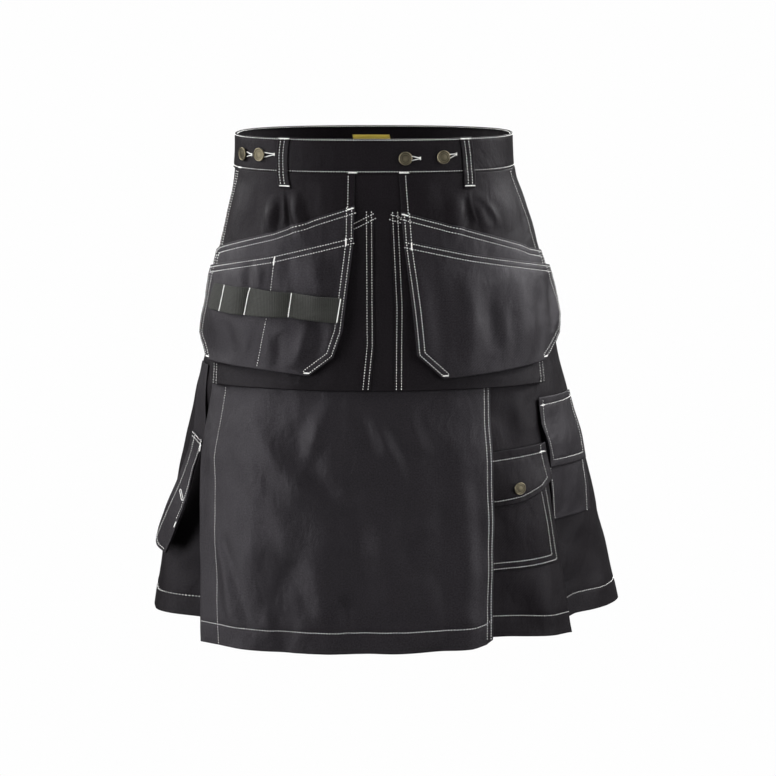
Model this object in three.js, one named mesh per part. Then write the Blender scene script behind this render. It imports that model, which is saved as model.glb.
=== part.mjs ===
// A utility kilt, worn on nobody: black twill with white topstitching, in millimetres.
// +Z is up, -Y is the front, and +X is the wearer's left. The origin is the middle of the waist
// opening, half way down the waistband, where the wearer's waist holds it.
//
// Every piece is laid out as it was cut, on two measures of the worn form:
//   across  the distance round the form from the front centre line, + to the wearer's left
//   drop    the distance below the waistband's top edge
// and is then set out from the form by the plies under it.

import * as THREE from "three";

// Driving sizes
const BAND_HEIGHT = 40; // waistband
const BAND_THICK = 2.4; // two plies of twill and their interlining
const CLOTH = 1.2; // one ply of heavy twill
const GAP = 0.3; // between pieces that touch
const REST = 0.75; // between the smooth faces of two plies, whose facets then come to the gap
const PLY = CLOTH + REST;
const SKIRT_TOP = BAND_HEIGHT + GAP;
const YOKE_LENGTH = 287; // waistband's top edge to the yoke's lower edge
const APRON_TOP = 226; // the apron's upper edge, sewn on under the yoke
const HEM = 586; // under layer's hem at the back and under the apron
const BUTTON_DIAMETER = 16;
const LOOP_WIDTH = 14;

// Half sizes of the worn form in plan, and how square its corners are
const FORM = [
  { drop: -5, right: 166, left: 166, front: 120, back: 120, square: 2.5 },
  { drop: 42, right: 169, left: 169, front: 123, back: 128, square: 2.5 },
  { drop: 85, right: 177, left: 184, front: 130, back: 146, square: 2.4 },
  { drop: 130, right: 188, left: 198, front: 139, back: 160, square: 2.3 },
  { drop: 200, right: 201, left: 212, front: 154, back: 172, square: 2.2 },
  { drop: 265, right: 209, left: 224, front: 166, back: 177, square: 2.2 },
  { drop: 325, right: 224, left: 241, front: 177, back: 181, square: 2.1 },
  { drop: 400, right: 238, left: 259, front: 188, back: 188, square: 2.1 },
  { drop: 520, right: 262, left: 287, front: 206, back: 200, square: 2.1 },
  { drop: 600, right: 276, left: 305, front: 217, back: 208, square: 2.1 },
];

// Soft folds of the under layer, each a crease line from its upper end to the hem.
// before and after are its half widths towards the wearer's right and left; lift is + outwards.
const UNDER_FOLDS = [
  // the deep pleat behind the apron's edge, at the wearer's right
  { top: -250, hem: -285, from: 285, full: 520, before: 80, after: 100, lift: -58 },
  // the outer face of that pleat, at the wearer's right
  { top: -335, hem: -392, from: 260, full: 520, before: 60, after: 50, lift: 5 },
  // the side pleat that parts the cargo pocket from the phone pocket
  { top: 211, hem: 265, from: 285, full: HEM, before: 11, after: 116, lift: -31 },
  // the convex face under the cargo pocket
  { top: 186, hem: 214, from: 320, full: HEM, before: 70, after: 44, lift: 7 },
  // behind the phone pocket, towards the back pleats
  { top: 372, hem: 402, from: 300, full: HEM, before: 40, after: 40, lift: 5 },
];

// How far the under layer's hem rises above HEM where its folds draw it up, or falls below it
const HEM_RISE = [
  { across: -420, rise: 0 },
  { across: -360, rise: -5 },
  { across: -300, rise: -4 },
  { across: -240, rise: 0 },
  { across: 60, rise: 0 },
  { across: 110, rise: 10 },
  { across: 164, rise: 7 },
  { across: 214, rise: 2 },
  { across: 270, rise: -3 },
  { across: 282, rise: 4 },
  { across: 300, rise: 9 },
  { across: 390, rise: 7 },
  { across: 470, rise: 0 },
];

// Soft folds of the hanging apron
const APRON_FOLDS = [
  { top: -168, hem: -150, from: 330, full: 560, before: 46, after: 52, lift: 6 },
  { top: -52, hem: -64, from: 300, full: 540, before: 54, after: 50, lift: 4 },
  { top: 52, hem: 30, from: 320, full: 560, before: 44, after: 50, lift: 5 },
  { top: 112, hem: 104, from: 340, full: 560, before: 30, after: 30, lift: 6 },
];

// The dart under each front belt loop makes the cloth of the nail pocket stand out below its end
const DART_FOLDS = [
  { top: -116, hem: -122, from: 60, full: 92, end: 128, before: 13, after: 9, lift: 6 },
  { top: -92, hem: -84, from: 60, full: 96, end: 132, before: 12, after: 16, lift: 4 },
  { top: 124, hem: 134, from: 60, full: 98, end: 128, before: 10, after: 14, lift: 6 },
  { top: 98, hem: 92, from: 60, full: 98, end: 132, before: 16, after: 12, lift: 4 },
];

const smooth = (t) => {
  const x = Math.min(1, Math.max(0, t));
  return x * x * (3 - 2 * x);
};
const mix = (a, b, t) => a + (b - a) * t;

// The value of one column of a table of sections, on a smooth curve through its rows
function sectionValue(rows, column, drop) {
  const last = rows.length - 1;
  let i = 0;
  while (i < last - 1 && drop > rows[i + 1].drop) i++;
  const [a, b] = [rows[i], rows[i + 1]];
  const before = rows[Math.max(0, i - 1)];
  const after = rows[Math.min(last, i + 2)];
  const span = b.drop - a.drop;
  const slopeA = ((b[column] - before[column]) / (b.drop - before.drop)) * span;
  const slopeB = ((after[column] - a[column]) / (after.drop - a.drop)) * span;
  const t = Math.min(1, Math.max(0, (drop - a.drop) / span));
  const [t2, t3] = [t * t, t * t * t];
  return (
    (2 * t3 - 3 * t2 + 1) * a[column] +
    (t3 - 2 * t2 + t) * slopeA +
    (3 * t2 - 2 * t3) * b[column] +
    (t3 - t2) * slopeB
  );
}

// The form's plan point at a turn from the front centre, in degrees, + to the wearer's left
function planPoint(turn, section, grow = 0) {
  const angle = THREE.MathUtils.degToRad(turn);
  const [s, c] = [Math.sin(angle), Math.cos(angle)];
  const halfWidth = s >= 0 ? section.left : section.right;
  const halfDepth = c >= 0 ? section.front : section.back;
  const power = section.square;
  const sum = (Math.abs(s) / halfWidth) ** power + (Math.abs(c) / halfDepth) ** power;
  const radius = sum ** (-1 / power) + grow;
  return new THREE.Vector2(radius * s, -radius * c);
}

// The section at a drop, with its distance round to each turn, kept because pieces share them
const TURN_STEP = 3;
const sections = new Map();
function sectionAt(drop) {
  const key = Math.round(drop * 4) / 4;
  if (sections.has(key)) return sections.get(key);
  const section = {};
  for (const column of ["right", "left", "front", "back", "square"])
    section[column] = sectionValue(FORM, column, key);
  section.rounds = [-1, 1].map((side) => {
    const rounds = [0];
    let last = planPoint(0, section);
    for (let turn = TURN_STEP; turn <= 180; turn += TURN_STEP) {
      const next = planPoint(side * turn, section);
      rounds.push(rounds[rounds.length - 1] + next.distanceTo(last));
      last = next;
    }
    return rounds;
  });
  sections.set(key, section);
  return section;
}

// The turn at a distance across; past the back centre line it carries on round
function turnAt(across, drop) {
  const side = across < 0 ? -1 : 1;
  const rounds = sectionAt(drop).rounds[side < 0 ? 0 : 1];
  const distance = Math.abs(across);
  let i = 0;
  while (i < rounds.length - 2 && rounds[i + 1] < distance) i++;
  const t = (distance - rounds[i]) / (rounds[i + 1] - rounds[i]);
  return side * (i + t) * TURN_STEP;
}

function acrossAt(turn, drop) {
  const side = turn < 0 ? -1 : 1;
  const rounds = sectionAt(drop).rounds[side < 0 ? 0 : 1];
  const place = Math.abs(turn) / TURN_STEP;
  const i = Math.min(rounds.length - 2, Math.floor(place));
  return side * mix(rounds[i], rounds[i + 1], place - i);
}

// Where a fold's crease line lies at a drop
const creaseAt = (fold, drop) =>
  mix(fold.top, fold.hem, (drop - fold.from) / ((fold.end ?? HEM) - fold.from));

// How far the folds lift the cloth off the form
function foldLift(folds, across, drop) {
  let lift = 0;
  for (const fold of folds) {
    const away = across - creaseAt(fold, drop);
    const reach = away < 0 ? fold.before : fold.after;
    if (Math.abs(away) >= reach) continue;
    const rise = smooth((drop - fold.from) / (fold.full - fold.from));
    const fade = fold.end ? 1 - smooth((drop - fold.full) / (fold.end - fold.full)) : 1;
    lift += fold.lift * rise * fade * Math.cos(((away / reach) * Math.PI) / 2) ** 2;
  }
  return lift;
}

// A point of the cloth: on the form, lifted by its folds, and set out along the cloth's own normal
function clothPoint(across, drop, out, folds = []) {
  const section = sectionAt(drop);
  const place = (a) => planPoint(turnAt(a, drop), section, foldLift(folds, a, drop));
  const here = place(across);
  const along = place(across + 2).sub(place(across - 2)).normalize();
  return new THREE.Vector3(here.x + along.y * out, here.y - along.x * out, BAND_HEIGHT / 2 - drop);
}

// Joins an inner and an outer grid of points, each [row][column], into one closed wall
function wallGeometry(inner, outer) {
  const [rows, columns] = [inner.length, inner[0].length];
  const positions = [...inner.flat(), ...outer.flat()].flatMap((p) => p.toArray());
  const index = [];
  const quad = (a, b, c, d) => index.push(a, b, c, a, c, d);
  const at = (side, row, column) => (side * rows + row) * columns + column;
  for (let r = 0; r < rows - 1; r++)
    for (let c = 0; c < columns - 1; c++) {
      quad(at(0, r, c), at(0, r, c + 1), at(0, r + 1, c + 1), at(0, r + 1, c));
      quad(at(1, r, c), at(1, r + 1, c), at(1, r + 1, c + 1), at(1, r, c + 1));
    }
  for (let c = 0; c < columns - 1; c++) {
    quad(at(0, 0, c), at(1, 0, c), at(1, 0, c + 1), at(0, 0, c + 1));
    const r = rows - 1;
    quad(at(0, r, c + 1), at(1, r, c + 1), at(1, r, c), at(0, r, c));
  }
  for (let r = 0; r < rows - 1; r++) {
    quad(at(0, r + 1, 0), at(1, r + 1, 0), at(1, r, 0), at(0, r, 0));
    const c = columns - 1;
    quad(at(0, r, c), at(1, r, c), at(1, r + 1, c), at(0, r + 1, c));
  }
  const geometry = new THREE.BufferGeometry();
  geometry.setAttribute("position", new THREE.Float32BufferAttribute(positions, 3));
  geometry.setIndex(facesOut(positions, index) ? index : index.reverse());
  geometry.computeVertexNormals();
  return geometry;
}

// True if the triangles face out, which the sign of the volume that they hold tells
function facesOut(positions, index) {
  const corner = (i) => new THREE.Vector3().fromArray(positions, index[i] * 3);
  let volume = 0;
  for (let i = 0; i < index.length; i += 3)
    volume += corner(i).dot(corner(i + 1).cross(corner(i + 2)));
  return volume > 0;
}

// An edge of a cut piece, as a list of [across, drop] corners, read by how far along it a place is
function edgeReader(corners, axis) {
  const start = corners[0][axis];
  const length = corners[corners.length - 1][axis] - start;
  const places = corners.map((corner) => (corner[axis] - start) / length);
  const read = (t) => {
    let i = 0;
    while (i < corners.length - 2 && t > places[i + 1]) i++;
    const share = (t - places[i]) / (places[i + 1] - places[i]);
    return [0, 1].map((k) => mix(corners[i][k], corners[i + 1][k], share));
  };
  return { read, places };
}

// Places along two facing edges: every corner of both, and no two further apart than a step
function ticks(placesA, placesB, step) {
  const corners = [...new Set([...placesA, ...placesB].map((t) => Number(t.toFixed(3))))];
  corners.sort((a, b) => a - b);
  const kept = corners.filter((t, i) => i === 0 || t === 1 || t - corners[i - 1] > step / 4);
  const list = [kept[0]];
  for (let i = 1; i < kept.length; i++) {
    const parts = Math.max(1, Math.round((kept[i] - kept[i - 1]) / step));
    for (let k = 1; k <= parts; k++) list.push(mix(kept[i - 1], kept[i], k / parts));
  }
  return list;
}

// A cut piece between four edges, as a grid of [across, drop]. Top and bottom run from the
// wearer's right to left, and the two sides run down.
function patternGrid({ top, bottom, right, left }, stepAcross, stepDown) {
  const edges = {
    top: edgeReader(top, 0),
    bottom: edgeReader(bottom, 0),
    right: edgeReader(right, 1),
    left: edgeReader(left, 1),
  };
  const acrossTicks = ticks(edges.top.places, edges.bottom.places, stepAcross);
  const downTicks = ticks(edges.right.places, edges.left.places, stepDown);
  return downTicks.map((t) =>
    acrossTicks.map((s) => {
      const [T, B] = [edges.top.read(s), edges.bottom.read(s)];
      const [R, L] = [edges.right.read(t), edges.left.read(t)];
      return [0, 1].map((k) => {
        const corners = mix(mix(top[0][k], top[top.length - 1][k], s),
          mix(bottom[0][k], bottom[bottom.length - 1][k], s), t);
        return mix(T[k], B[k], t) + mix(R[k], L[k], s) - corners;
      });
    }),
  );
}

// A piece with straight sides, from its corners at the top and at the bottom
const straightSides = (top, bottom) => ({
  top,
  bottom,
  right: [top[0], bottom[0]],
  left: [top[top.length - 1], bottom[bottom.length - 1]],
});

// The part of a side edge that lies below one drop
function edgeBelow(corners, drop) {
  const i = corners.findIndex((corner) => corner[1] > drop);
  const [a, b] = [corners[i - 1], corners[i]];
  const t = (drop - a[1]) / (b[1] - a[1]);
  return [[mix(a[0], b[0], t), drop], ...corners.slice(i)];
}

// The wall of a cut piece laid on the cloth. stand(across, drop) is its inner face's distance out.
function laidWall(grid, stand, { folds = [], thick = CLOTH } = {}) {
  const face = (extra) =>
    grid.map((row) => row.map(([a, d]) => clothPoint(a, d, stand(a, d) + extra, folds)));
  return wallGeometry(face(0), face(thick));
}

const TWILL = { color: 0x252427, roughness: 0.78, metalness: 0 };
const WEBBING = { color: 0x2b2b27, roughness: 0.9, metalness: 0 };
const ANTIQUE_BRASS = { color: 0x6e6347, roughness: 0.45, metalness: 0.9 };
const LABEL_WEAVE = { color: 0xb9a03a, roughness: 0.8, metalness: 0 };

const kilt = new THREE.Group();
function addPiece(name, geometry, finish) {
  const piece = new THREE.Mesh(geometry, new THREE.MeshStandardMaterial(finish));
  piece.name = name;
  kilt.add(piece);
  return piece;
}

// Waistband: one strip that starts over the front, at the wearer's left belt loop, goes once
// round by the wearer's right, passes under its own start and ends under the buttons at the right.
const BAND = { start: 46, end: -68, step: 6, outer: 0.6, mid: -0.6, inner: -2.1 };
function bandStand(travel) {
  const turn = BAND.start - travel;
  const leavesFront = smooth((BAND.end - turn) / 45);
  const goesUnder = smooth((travel - 290) / 45);
  return mix(mix(BAND.outer, BAND.mid, leavesFront), BAND.inner, goesUnder);
}
function waistband() {
  const sweep = BAND.start + 360 - BAND.end;
  const columns = Math.ceil(sweep / BAND.step);
  const face = (extra) =>
    [0, BAND_HEIGHT / 2, BAND_HEIGHT].map((drop) =>
      Array.from({ length: columns + 1 }, (_, i) => {
        const travel = (sweep * i) / columns;
        const turn = ((((BAND.start - travel + 180) % 360) + 360) % 360) - 180;
        return clothPoint(acrossAt(turn, drop), drop, bandStand(travel) + extra);
      }),
    );
  return wallGeometry(face(0), face(BAND_THICK));
}
addPiece("waistband", waistband(), TWILL);

// Under layer: front, sides and pleated back, joined by seams that run down the form
const SEAM_RIGHT_FRONT = { waist: -62, hem: -56 }; // turns of each seam, in degrees
const SEAM_LEFT_FRONT = { waist: 26, hem: 26 };
const SEAM_RIGHT_BACK = { waist: -106, hem: -104 };
const SEAM_LEFT_BACK = { waist: 106, hem: 104 };
const seamAcross = (seam, drop, side = 0) =>
  acrossAt(mix(seam.waist, seam.hem, drop / HEM), drop) + (side * GAP) / 2;

const SKIRT_DROPS = [SKIRT_TOP, 85, 130, 200, 265, 310, 355, 400, 450, 500, 545, HEM];
function hemRise(across) {
  const i = HEM_RISE.findIndex((row) => row.across > across);
  if (i <= 0) return 0;
  const [a, b] = [HEM_RISE[i - 1], HEM_RISE[i]];
  return mix(a.rise, b.rise, (across - a.across) / (b.across - a.across));
}
// A panel between two seams. guides are lines that the columns of its mesh follow, the seams
// first and last, and columns are the number of columns between each two.
function underPanel(guides, columns) {
  const grid = SKIRT_DROPS.map((drop) => {
    const places = guides.map((guide) => guide(drop));
    const row = [places[0]];
    columns.forEach((count, k) => {
      for (let i = 1; i <= count; i++) row.push(mix(places[k], places[k + 1], i / count));
    });
    return row.map((across) => [
      across,
      drop - hemRise(across) * smooth((drop - 450) / (HEM - 450)),
    ]);
  });
  return laidWall(grid, () => -CLOTH, { folds: UNDER_FOLDS });
}
const SIDE_PLEAT = UNDER_FOLDS[2];
const rightOf = (seam) => (drop) => seamAcross(seam, drop, -1);
const leftOf = (seam) => (drop) => seamAcross(seam, drop, 1);
const besideCrease = (fold, shift) => (drop) => creaseAt(fold, drop) + shift;
addPiece("under_apron", underPanel([leftOf(SEAM_RIGHT_FRONT), rightOf(SEAM_LEFT_FRONT)], [18]), TWILL);
addPiece("side_panel_right",
  underPanel([leftOf(SEAM_RIGHT_BACK), rightOf(SEAM_RIGHT_FRONT)], [16]), TWILL);
addPiece("side_panel_left",
  underPanel([leftOf(SEAM_LEFT_FRONT), besideCrease(SIDE_PLEAT, -SIDE_PLEAT.before),
    besideCrease(SIDE_PLEAT, 0), rightOf(SEAM_LEFT_BACK)], [8, 2, 13]), TWILL);

// Pleated back, in three lengths of cloth that are joined inside folds: a box pleat in the
// middle, and knife pleats that face away from it on each side. In each table, out is a share of
// the pleat's face, under of its undercut, and lift of its height.
const OUTER_FOLD = [
  { out: 1, under: 0.08, lift: 0.98 },
  { out: 1, under: 0, lift: 0.76 },
  { out: 1, under: 0.08, lift: 0.54 },
];
const RETURN = [
  { out: 1, under: 0.5, lift: 0.52 },
  { out: 1, under: 0.92, lift: 0.5 },
];
const INNER_FOLD = [
  { out: 1, under: 1, lift: 0.26 },
  { out: 1, under: 0.92, lift: 0.02 },
];
const KNIFE_FACE = [
  { out: 0.1, under: 0, lift: 0.12 },
  { out: 0.4, under: 0, lift: 0.4 },
  { out: 0.7, under: 0, lift: 0.7 },
];
const BOX_FACE = [
  { out: 0.3, under: 0, lift: 1 },
  { out: 0.65, under: 0, lift: 1 },
];
const LAST_FACE = [0.1, 0.4, 0.7, 1].map((out) => ({ out, under: 0, lift: 0.08 }));
const KNIFE_PLEATS = 2; // on each side, before the last face, which runs flat to the side seam
const BOX_SHARE = 0.3; // of the back's width, the box pleat's face
const PLEAT_LIFT = { waist: 3.7, hem: 13 };
const UNDERCUT = { waist: 20, hem: 26 };
const PLEATS_OPEN_FROM = 150;
const BACK_DROPS = [SKIRT_TOP, 90, 150, 215, 280, 350, 420, 500, HEM];

// Half of the back's cloth at a drop, from the middle out to the side seam, as distances from the
// middle and lifts off the form. part says which length of cloth is wanted.
function pleatPath(reach, drop, part) {
  const open = smooth((drop - PLEATS_OPEN_FROM) / (HEM - PLEATS_OPEN_FROM));
  const lift = mix(PLEAT_LIFT.waist, PLEAT_LIFT.hem, open);
  const under = mix(UNDERCUT.waist, UNDERCUT.hem, open);
  const rows = (table, start, width) =>
    table.map((row) => ({ out: start + row.out * width - row.under * under, lift: row.lift * lift }));
  const box = reach * BOX_SHARE;
  if (part === "middle") return rows([...BOX_FACE, ...OUTER_FOLD, ...RETURN], 0, box);
  // the side length starts in the inner fold, against the end of the middle length
  const joint = box - RETURN[1].under * under;
  const path = [
    { out: joint - GAP - CLOTH / 2, lift: 0.45 * lift },
    { out: joint - GAP - CLOTH / 2, lift: 0.26 * lift },
    { out: joint, lift: 0.02 * lift },
  ];
  const width = (reach - box) / (KNIFE_PLEATS + 1);
  for (let pleat = 0; pleat < KNIFE_PLEATS; pleat++) {
    const start = box + pleat * width;
    path.push(...rows([...KNIFE_FACE, ...OUTER_FOLD, ...RETURN, ...INNER_FOLD], start, width));
  }
  path.push(...rows(LAST_FACE, box + KNIFE_PLEATS * width, width));
  return path;
}

// The back's cloth on one side of the middle, as places on the form
function backPlaces(side, drop, part) {
  const middle = acrossAt(side * 180, drop);
  const seam = side < 0 ? SEAM_RIGHT_BACK : SEAM_LEFT_BACK;
  const reach = Math.abs(middle - seamAcross(seam, drop, side));
  return pleatPath(reach, drop, part).map(({ out, lift }) => ({ across: middle - side * out, lift }));
}

// The wall of a length of pleated cloth, half its thickness to each side of its middle line
function pleatedWall(placesAt) {
  const faces = [[], []];
  for (const drop of BACK_DROPS) {
    const section = sectionAt(drop);
    const line = placesAt(drop).map(({ across, lift }) =>
      planPoint(turnAt(across, drop), section, lift - CLOTH / 2),
    );
    faces.forEach((face, k) => {
      const out = (k ? 1 : -1) * (CLOTH / 2);
      face.push(
        line.map((point, i) => {
          const before = line[Math.max(0, i - 1)];
          const after = line[Math.min(line.length - 1, i + 1)];
          const along = after.clone().sub(before).normalize();
          const [x, y] = [point.x - along.y * out, point.y + along.x * out];
          return new THREE.Vector3(x, y, BAND_HEIGHT / 2 - drop);
        }),
      );
    });
  }
  return wallGeometry(faces[0], faces[1]);
}
addPiece("back_middle", pleatedWall((drop) => [
  ...backPlaces(-1, drop, "middle").reverse(),
  { across: acrossAt(180, drop), lift: backPlaces(1, drop, "middle")[0].lift },
  ...backPlaces(1, drop, "middle"),
]), TWILL);
addPiece("back_right", pleatedWall((drop) => backPlaces(-1, drop, "side")), TWILL);
addPiece("back_left", pleatedWall((drop) => backPlaces(1, drop, "side")), TWILL);

// Front yoke, on the under layer as far as the apron's top, then over the apron
const yokeStand = (across, drop) =>
  mix(mix(REST, REST + PLY, smooth((drop - 165) / 50)), 5, smooth((drop - 230) / 57));
const YOKE = {
  top: [[-190, SKIRT_TOP], [190, SKIRT_TOP]],
  bottom: [[-214, 293], [-121, 288], [-14, YOKE_LENGTH], [97, YOKE_LENGTH], [221, 290]],
  right: [[-190, SKIRT_TOP], [-210, 133], [-219, 200], [-214, 293]],
  left: [[190, SKIRT_TOP], [212, 133], [220, 200], [221, 290]],
};
addPiece("front_yoke", laidWall(patternGrid(YOKE, 1 / 26, 1 / 7), yokeStand), TWILL);

// Front pockets, sewn on the yoke, each with a slanting mouth that runs under the nail pocket
const pocketOnYoke = (across, drop) => yokeStand(across, drop) + PLY - 0.2;
const FRONT_POCKETS = {
  front_pocket_right: {
    top: [[-190, 160], [-23, 94], [-1, 83]],
    bottom: [[-200, 291], [-121, 287.5], [-5, 286.5]],
    right: [[-190, 160], [-200, 291]],
    left: [[-1, 83], [0, 236], [-5, 286.5]],
  },
  front_pocket_left: {
    top: [[19, 84], [36, 89], [190, 160]],
    bottom: [[23, 286.5], [97, 286.5], [200, 289]],
    right: [[19, 84], [24, 191], [23, 286.5]],
    left: [[190, 160], [200, 289]],
  },
};
for (const [name, pattern] of Object.entries(FRONT_POCKETS))
  addPiece(name, laidWall(patternGrid(pattern, 1 / 12, 1 / 5), pocketOnYoke), TWILL);

// Apron: hangs from under the yoke, over the under layer
// its edge at the wearer's left rides up over the cargo pocket
const apronStand = (across, drop) => {
  const overPocket = smooth((across - 80) / 40) * smooth((drop - 320) / 40) * smooth((540 - drop) / 60);
  return mix(REST, 3, smooth((drop - YOKE_LENGTH) / 120)) + 4.5 * overPocket;
};
const APRON = {
  top: [[-214, APRON_TOP], [139, APRON_TOP]],
  bottom: [[-218, 594], [-150, 592], [-5, 589], [113, 587], [131, 584], [139, 579]],
  right: [[-214, APRON_TOP], [-222, 300], [-228, 345], [-231, 375], [-228, 433], [-222, 507], [-218, 594]],
  left: [[139, APRON_TOP], [138, 355], [139, 445], [139, 579]],
};
const apronGrid = patternGrid(APRON, 1 / 22, 1 / 9);
addPiece("front_apron", laidWall(apronGrid, apronStand, { folds: APRON_FOLDS }), TWILL);

// Nail pockets: each hangs free from the waistband, a backing with two plies of pocket on it
const NAIL_POCKETS = {
  right: {
    backing: {
      top: [[-190, SKIRT_TOP], [-23, SKIRT_TOP]],
      bottom: [[-239, 236], [-218, 264], [-135, 265], [-74, 270], [-46, 248]],
      right: [[-190, SKIRT_TOP], [-214, 135], [-223, 198], [-239, 236]],
      left: [[-23, SKIRT_TOP], [-24, 118], [-36, 219], [-46, 248]],
    },
    mouths: [
      [[-216, 137], [-205, 131], [-119, 109], [-63, 89], [-23, 76]],
      [[-218, 155], [-120, 135], [-24, 110]],
    ],
  },
  left: {
    backing: {
      top: [[29, SKIRT_TOP], [190, SKIRT_TOP]],
      bottom: [[49, 246], [78, 273], [183, 265], [214, 262], [247, 236]],
      right: [[29, SKIRT_TOP], [35, 125], [44, 196], [49, 246]],
      left: [[190, SKIRT_TOP], [226, 138], [247, 190], [251, 214], [247, 236]],
    },
    mouths: [
      [[31, 83], [108, 104], [180, 125], [196, 131], [225, 137]],
      [[35, 115], [110, 132], [233, 155]],
    ],
  },
};
const nailStand = (across, drop) =>
  mix(mix(REST + PLY, 4.8, smooth((drop - 45) / 45)), 8.2, smooth((drop - 100) / 150));
// each pocket ply rests on the one before it, and stands off it a little below its mouth
const POCKET_SLACK = 1.5;
const pocketStand = (ply) => (across, drop) => {
  const slack = POCKET_SLACK * smooth((drop - 120) / 50) * smooth((262 - drop) / 50);
  return nailStand(across, drop) + ply * (PLY + 0.8 + slack);
};
const POCKET_PLIES = ["lower_pocket", "upper_pocket"];
for (const [side, { backing, mouths }] of Object.entries(NAIL_POCKETS)) {
  const name = `nail_pocket_${side}`;
  addPiece(`${name}_backing`,
    laidWall(patternGrid(backing, 1 / 14, 1 / 8), nailStand, { folds: DART_FOLDS }), TWILL);
  mouths.forEach((mouth, ply) => {
    const pattern = {
      top: mouth,
      bottom: backing.bottom,
      right: edgeBelow(backing.right, mouth[0][1]),
      left: edgeBelow(backing.left, mouth[mouth.length - 1][1]),
    };
    pattern.right[0] = mouth[0];
    pattern.left[0] = mouth[mouth.length - 1];
    addPiece(`${name}_${POCKET_PLIES[ply]}`,
      laidWall(patternGrid(pattern, 1 / 14, 1 / 5), pocketStand(ply + 1), { folds: DART_FOLDS }), TWILL);
  });
}

// Tool loops: one length of webbing across the right nail pocket, tacked down at its bars
const WEB_LIFTS = [0.4, 3, 4, 4];
const WEB = {
  top: [[-198, 173], [-179, 173], [-142, 172.5], [-91.5, 175.5], [-35, 180]],
  bottom: [[-208, 202], [-186, 203.5], [-149, 204], [-95, 202.5], [-39.5, 207.5]],
};
const WEB_HEIGHT = 29;
function webLift(across, drop) {
  const down = (drop - WEB.top[0][1]) / WEB_HEIGHT;
  const bars = WEB.top.map(([top], k) => mix(top, WEB.bottom[k][0], down));
  const i = bars.findIndex((bar, k) => k > 0 && across < bar) - 1;
  if (i < 0) return 0;
  const t = (across - bars[i]) / (bars[i + 1] - bars[i]);
  return t <= 0 ? 0 : WEB_LIFTS[i] * Math.sin(Math.PI * t) ** 0.6;
}
const webStand = (across, drop) => pocketStand(2)(across, drop) + PLY + webLift(across, drop);
const webGrid = patternGrid(straightSides(WEB.top, WEB.bottom), 1 / 22, 1);
addPiece("tool_loop_webbing", laidWall(webGrid, webStand), WEBBING);

// Cargo pocket and its flap, on the wearer's left side
const cargoFullness = (across) => smooth((across - 136) / 30) * smooth((236 - across) / 30);
const cargoStand = (across, drop) =>
  REST + 0.3 + 3 * cargoFullness(across) * smooth((drop - 372) / 40) * smooth((500 - drop) / 50);
const CARGO = straightSides([[126, 370], [206, 367]], [[126, 501], [180, 501], [230, 499]]);
addPiece("cargo_pocket",
  laidWall(patternGrid(CARGO, 1 / 10, 1 / 6), cargoStand, { folds: UNDER_FOLDS }), TWILL);
const CARGO_FLAP = {
  top: [[124, 364], [216, 360]],
  bottom: [[124, 412], [142, 427], [178, 422], [204, 413], [221, 402]],
  right: [[124, 364], [124, 412]],
  left: [[216, 360], [221, 402]],
};
const flapStand = (across, drop) =>
  cargoStand(across, drop) + PLY + 0.5 + 2 * smooth((across - 136) / 40) * smooth((drop - 366) / 50);
addPiece("cargo_flap",
  laidWall(patternGrid(CARGO_FLAP, 1 / 10, 1 / 4), flapStand, { folds: UNDER_FOLDS }), TWILL);

// Phone pocket and its long flap, on the outside of the wearer's left hip
const phoneStand = (across, drop) => REST + 0.2 + 3 * smooth((drop - 330) / 40) * smooth((458 - drop) / 40);
const PHONE = {
  ...straightSides([[219.5, 330], [306, 330]], [[255, 458], [327, 457]]),
  right: [[219.5, 330], [235, 398], [255, 458]],
};
addPiece("phone_pocket",
  laidWall(patternGrid(PHONE, 1 / 9, 1 / 6), phoneStand, { folds: UNDER_FOLDS }), TWILL);
const PHONE_FLAP = {
  ...straightSides([[211, 308], [300, 312]], [[226, 391], [314, 394]]),
  right: [[211, 308], [212.5, 340], [219, 362], [226, 391]],
};
const phoneFlapStand = (across, drop) => phoneStand(across, drop) + PLY - 0.5 + 2 * smooth((drop - 310) / 60);
addPiece("phone_flap",
  laidWall(patternGrid(PHONE_FLAP, 1 / 7, 1 / 4), phoneFlapStand, { folds: UNDER_FOLDS }), TWILL);

// Folding-rule pocket: hangs from under the yoke at the wearer's right, bridges the deep pleat
// and leans out at its foot
const ruleStand = (across, drop) => {
  const bridged = mix(0.35, 0.85, smooth((drop - 360) / 120));
  return REST + 10.5 * smooth((drop - 330) / 175) - bridged * foldLift(UNDER_FOLDS, across, drop);
};
const RULE_BACKING = {
  top: [[-272, 276], [-240, 276]],
  bottom: [[-361, 503], [-348, 509.5], [-331, 512]],
  right: [[-272, 276], [-288, 360], [-361, 503]],
  left: [[-240, 276], [-250, 366], [-284, 404], [-313, 468], [-331, 512]],
};
addPiece("rule_pocket_backing",
  laidWall(patternGrid(RULE_BACKING, 1 / 7, 1 / 12), ruleStand, { folds: UNDER_FOLDS }), TWILL);
const RULE_FRONT = {
  top: [[-287.5, 360], [-254, 367]],
  bottom: [[-360, 502], [-348, 508.5], [-331, 511]],
  right: [[-287.5, 360], [-360, 502]],
  left: [[-254, 367], [-285, 404], [-314, 468], [-331, 511]],
};
const ruleFrontStand = (across, drop) => ruleStand(across, drop) + PLY + 0.3;
addPiece("rule_pocket_front",
  laidWall(patternGrid(RULE_FRONT, 1 / 7, 1 / 8), ruleFrontStand, { folds: UNDER_FOLDS }), TWILL);

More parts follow.
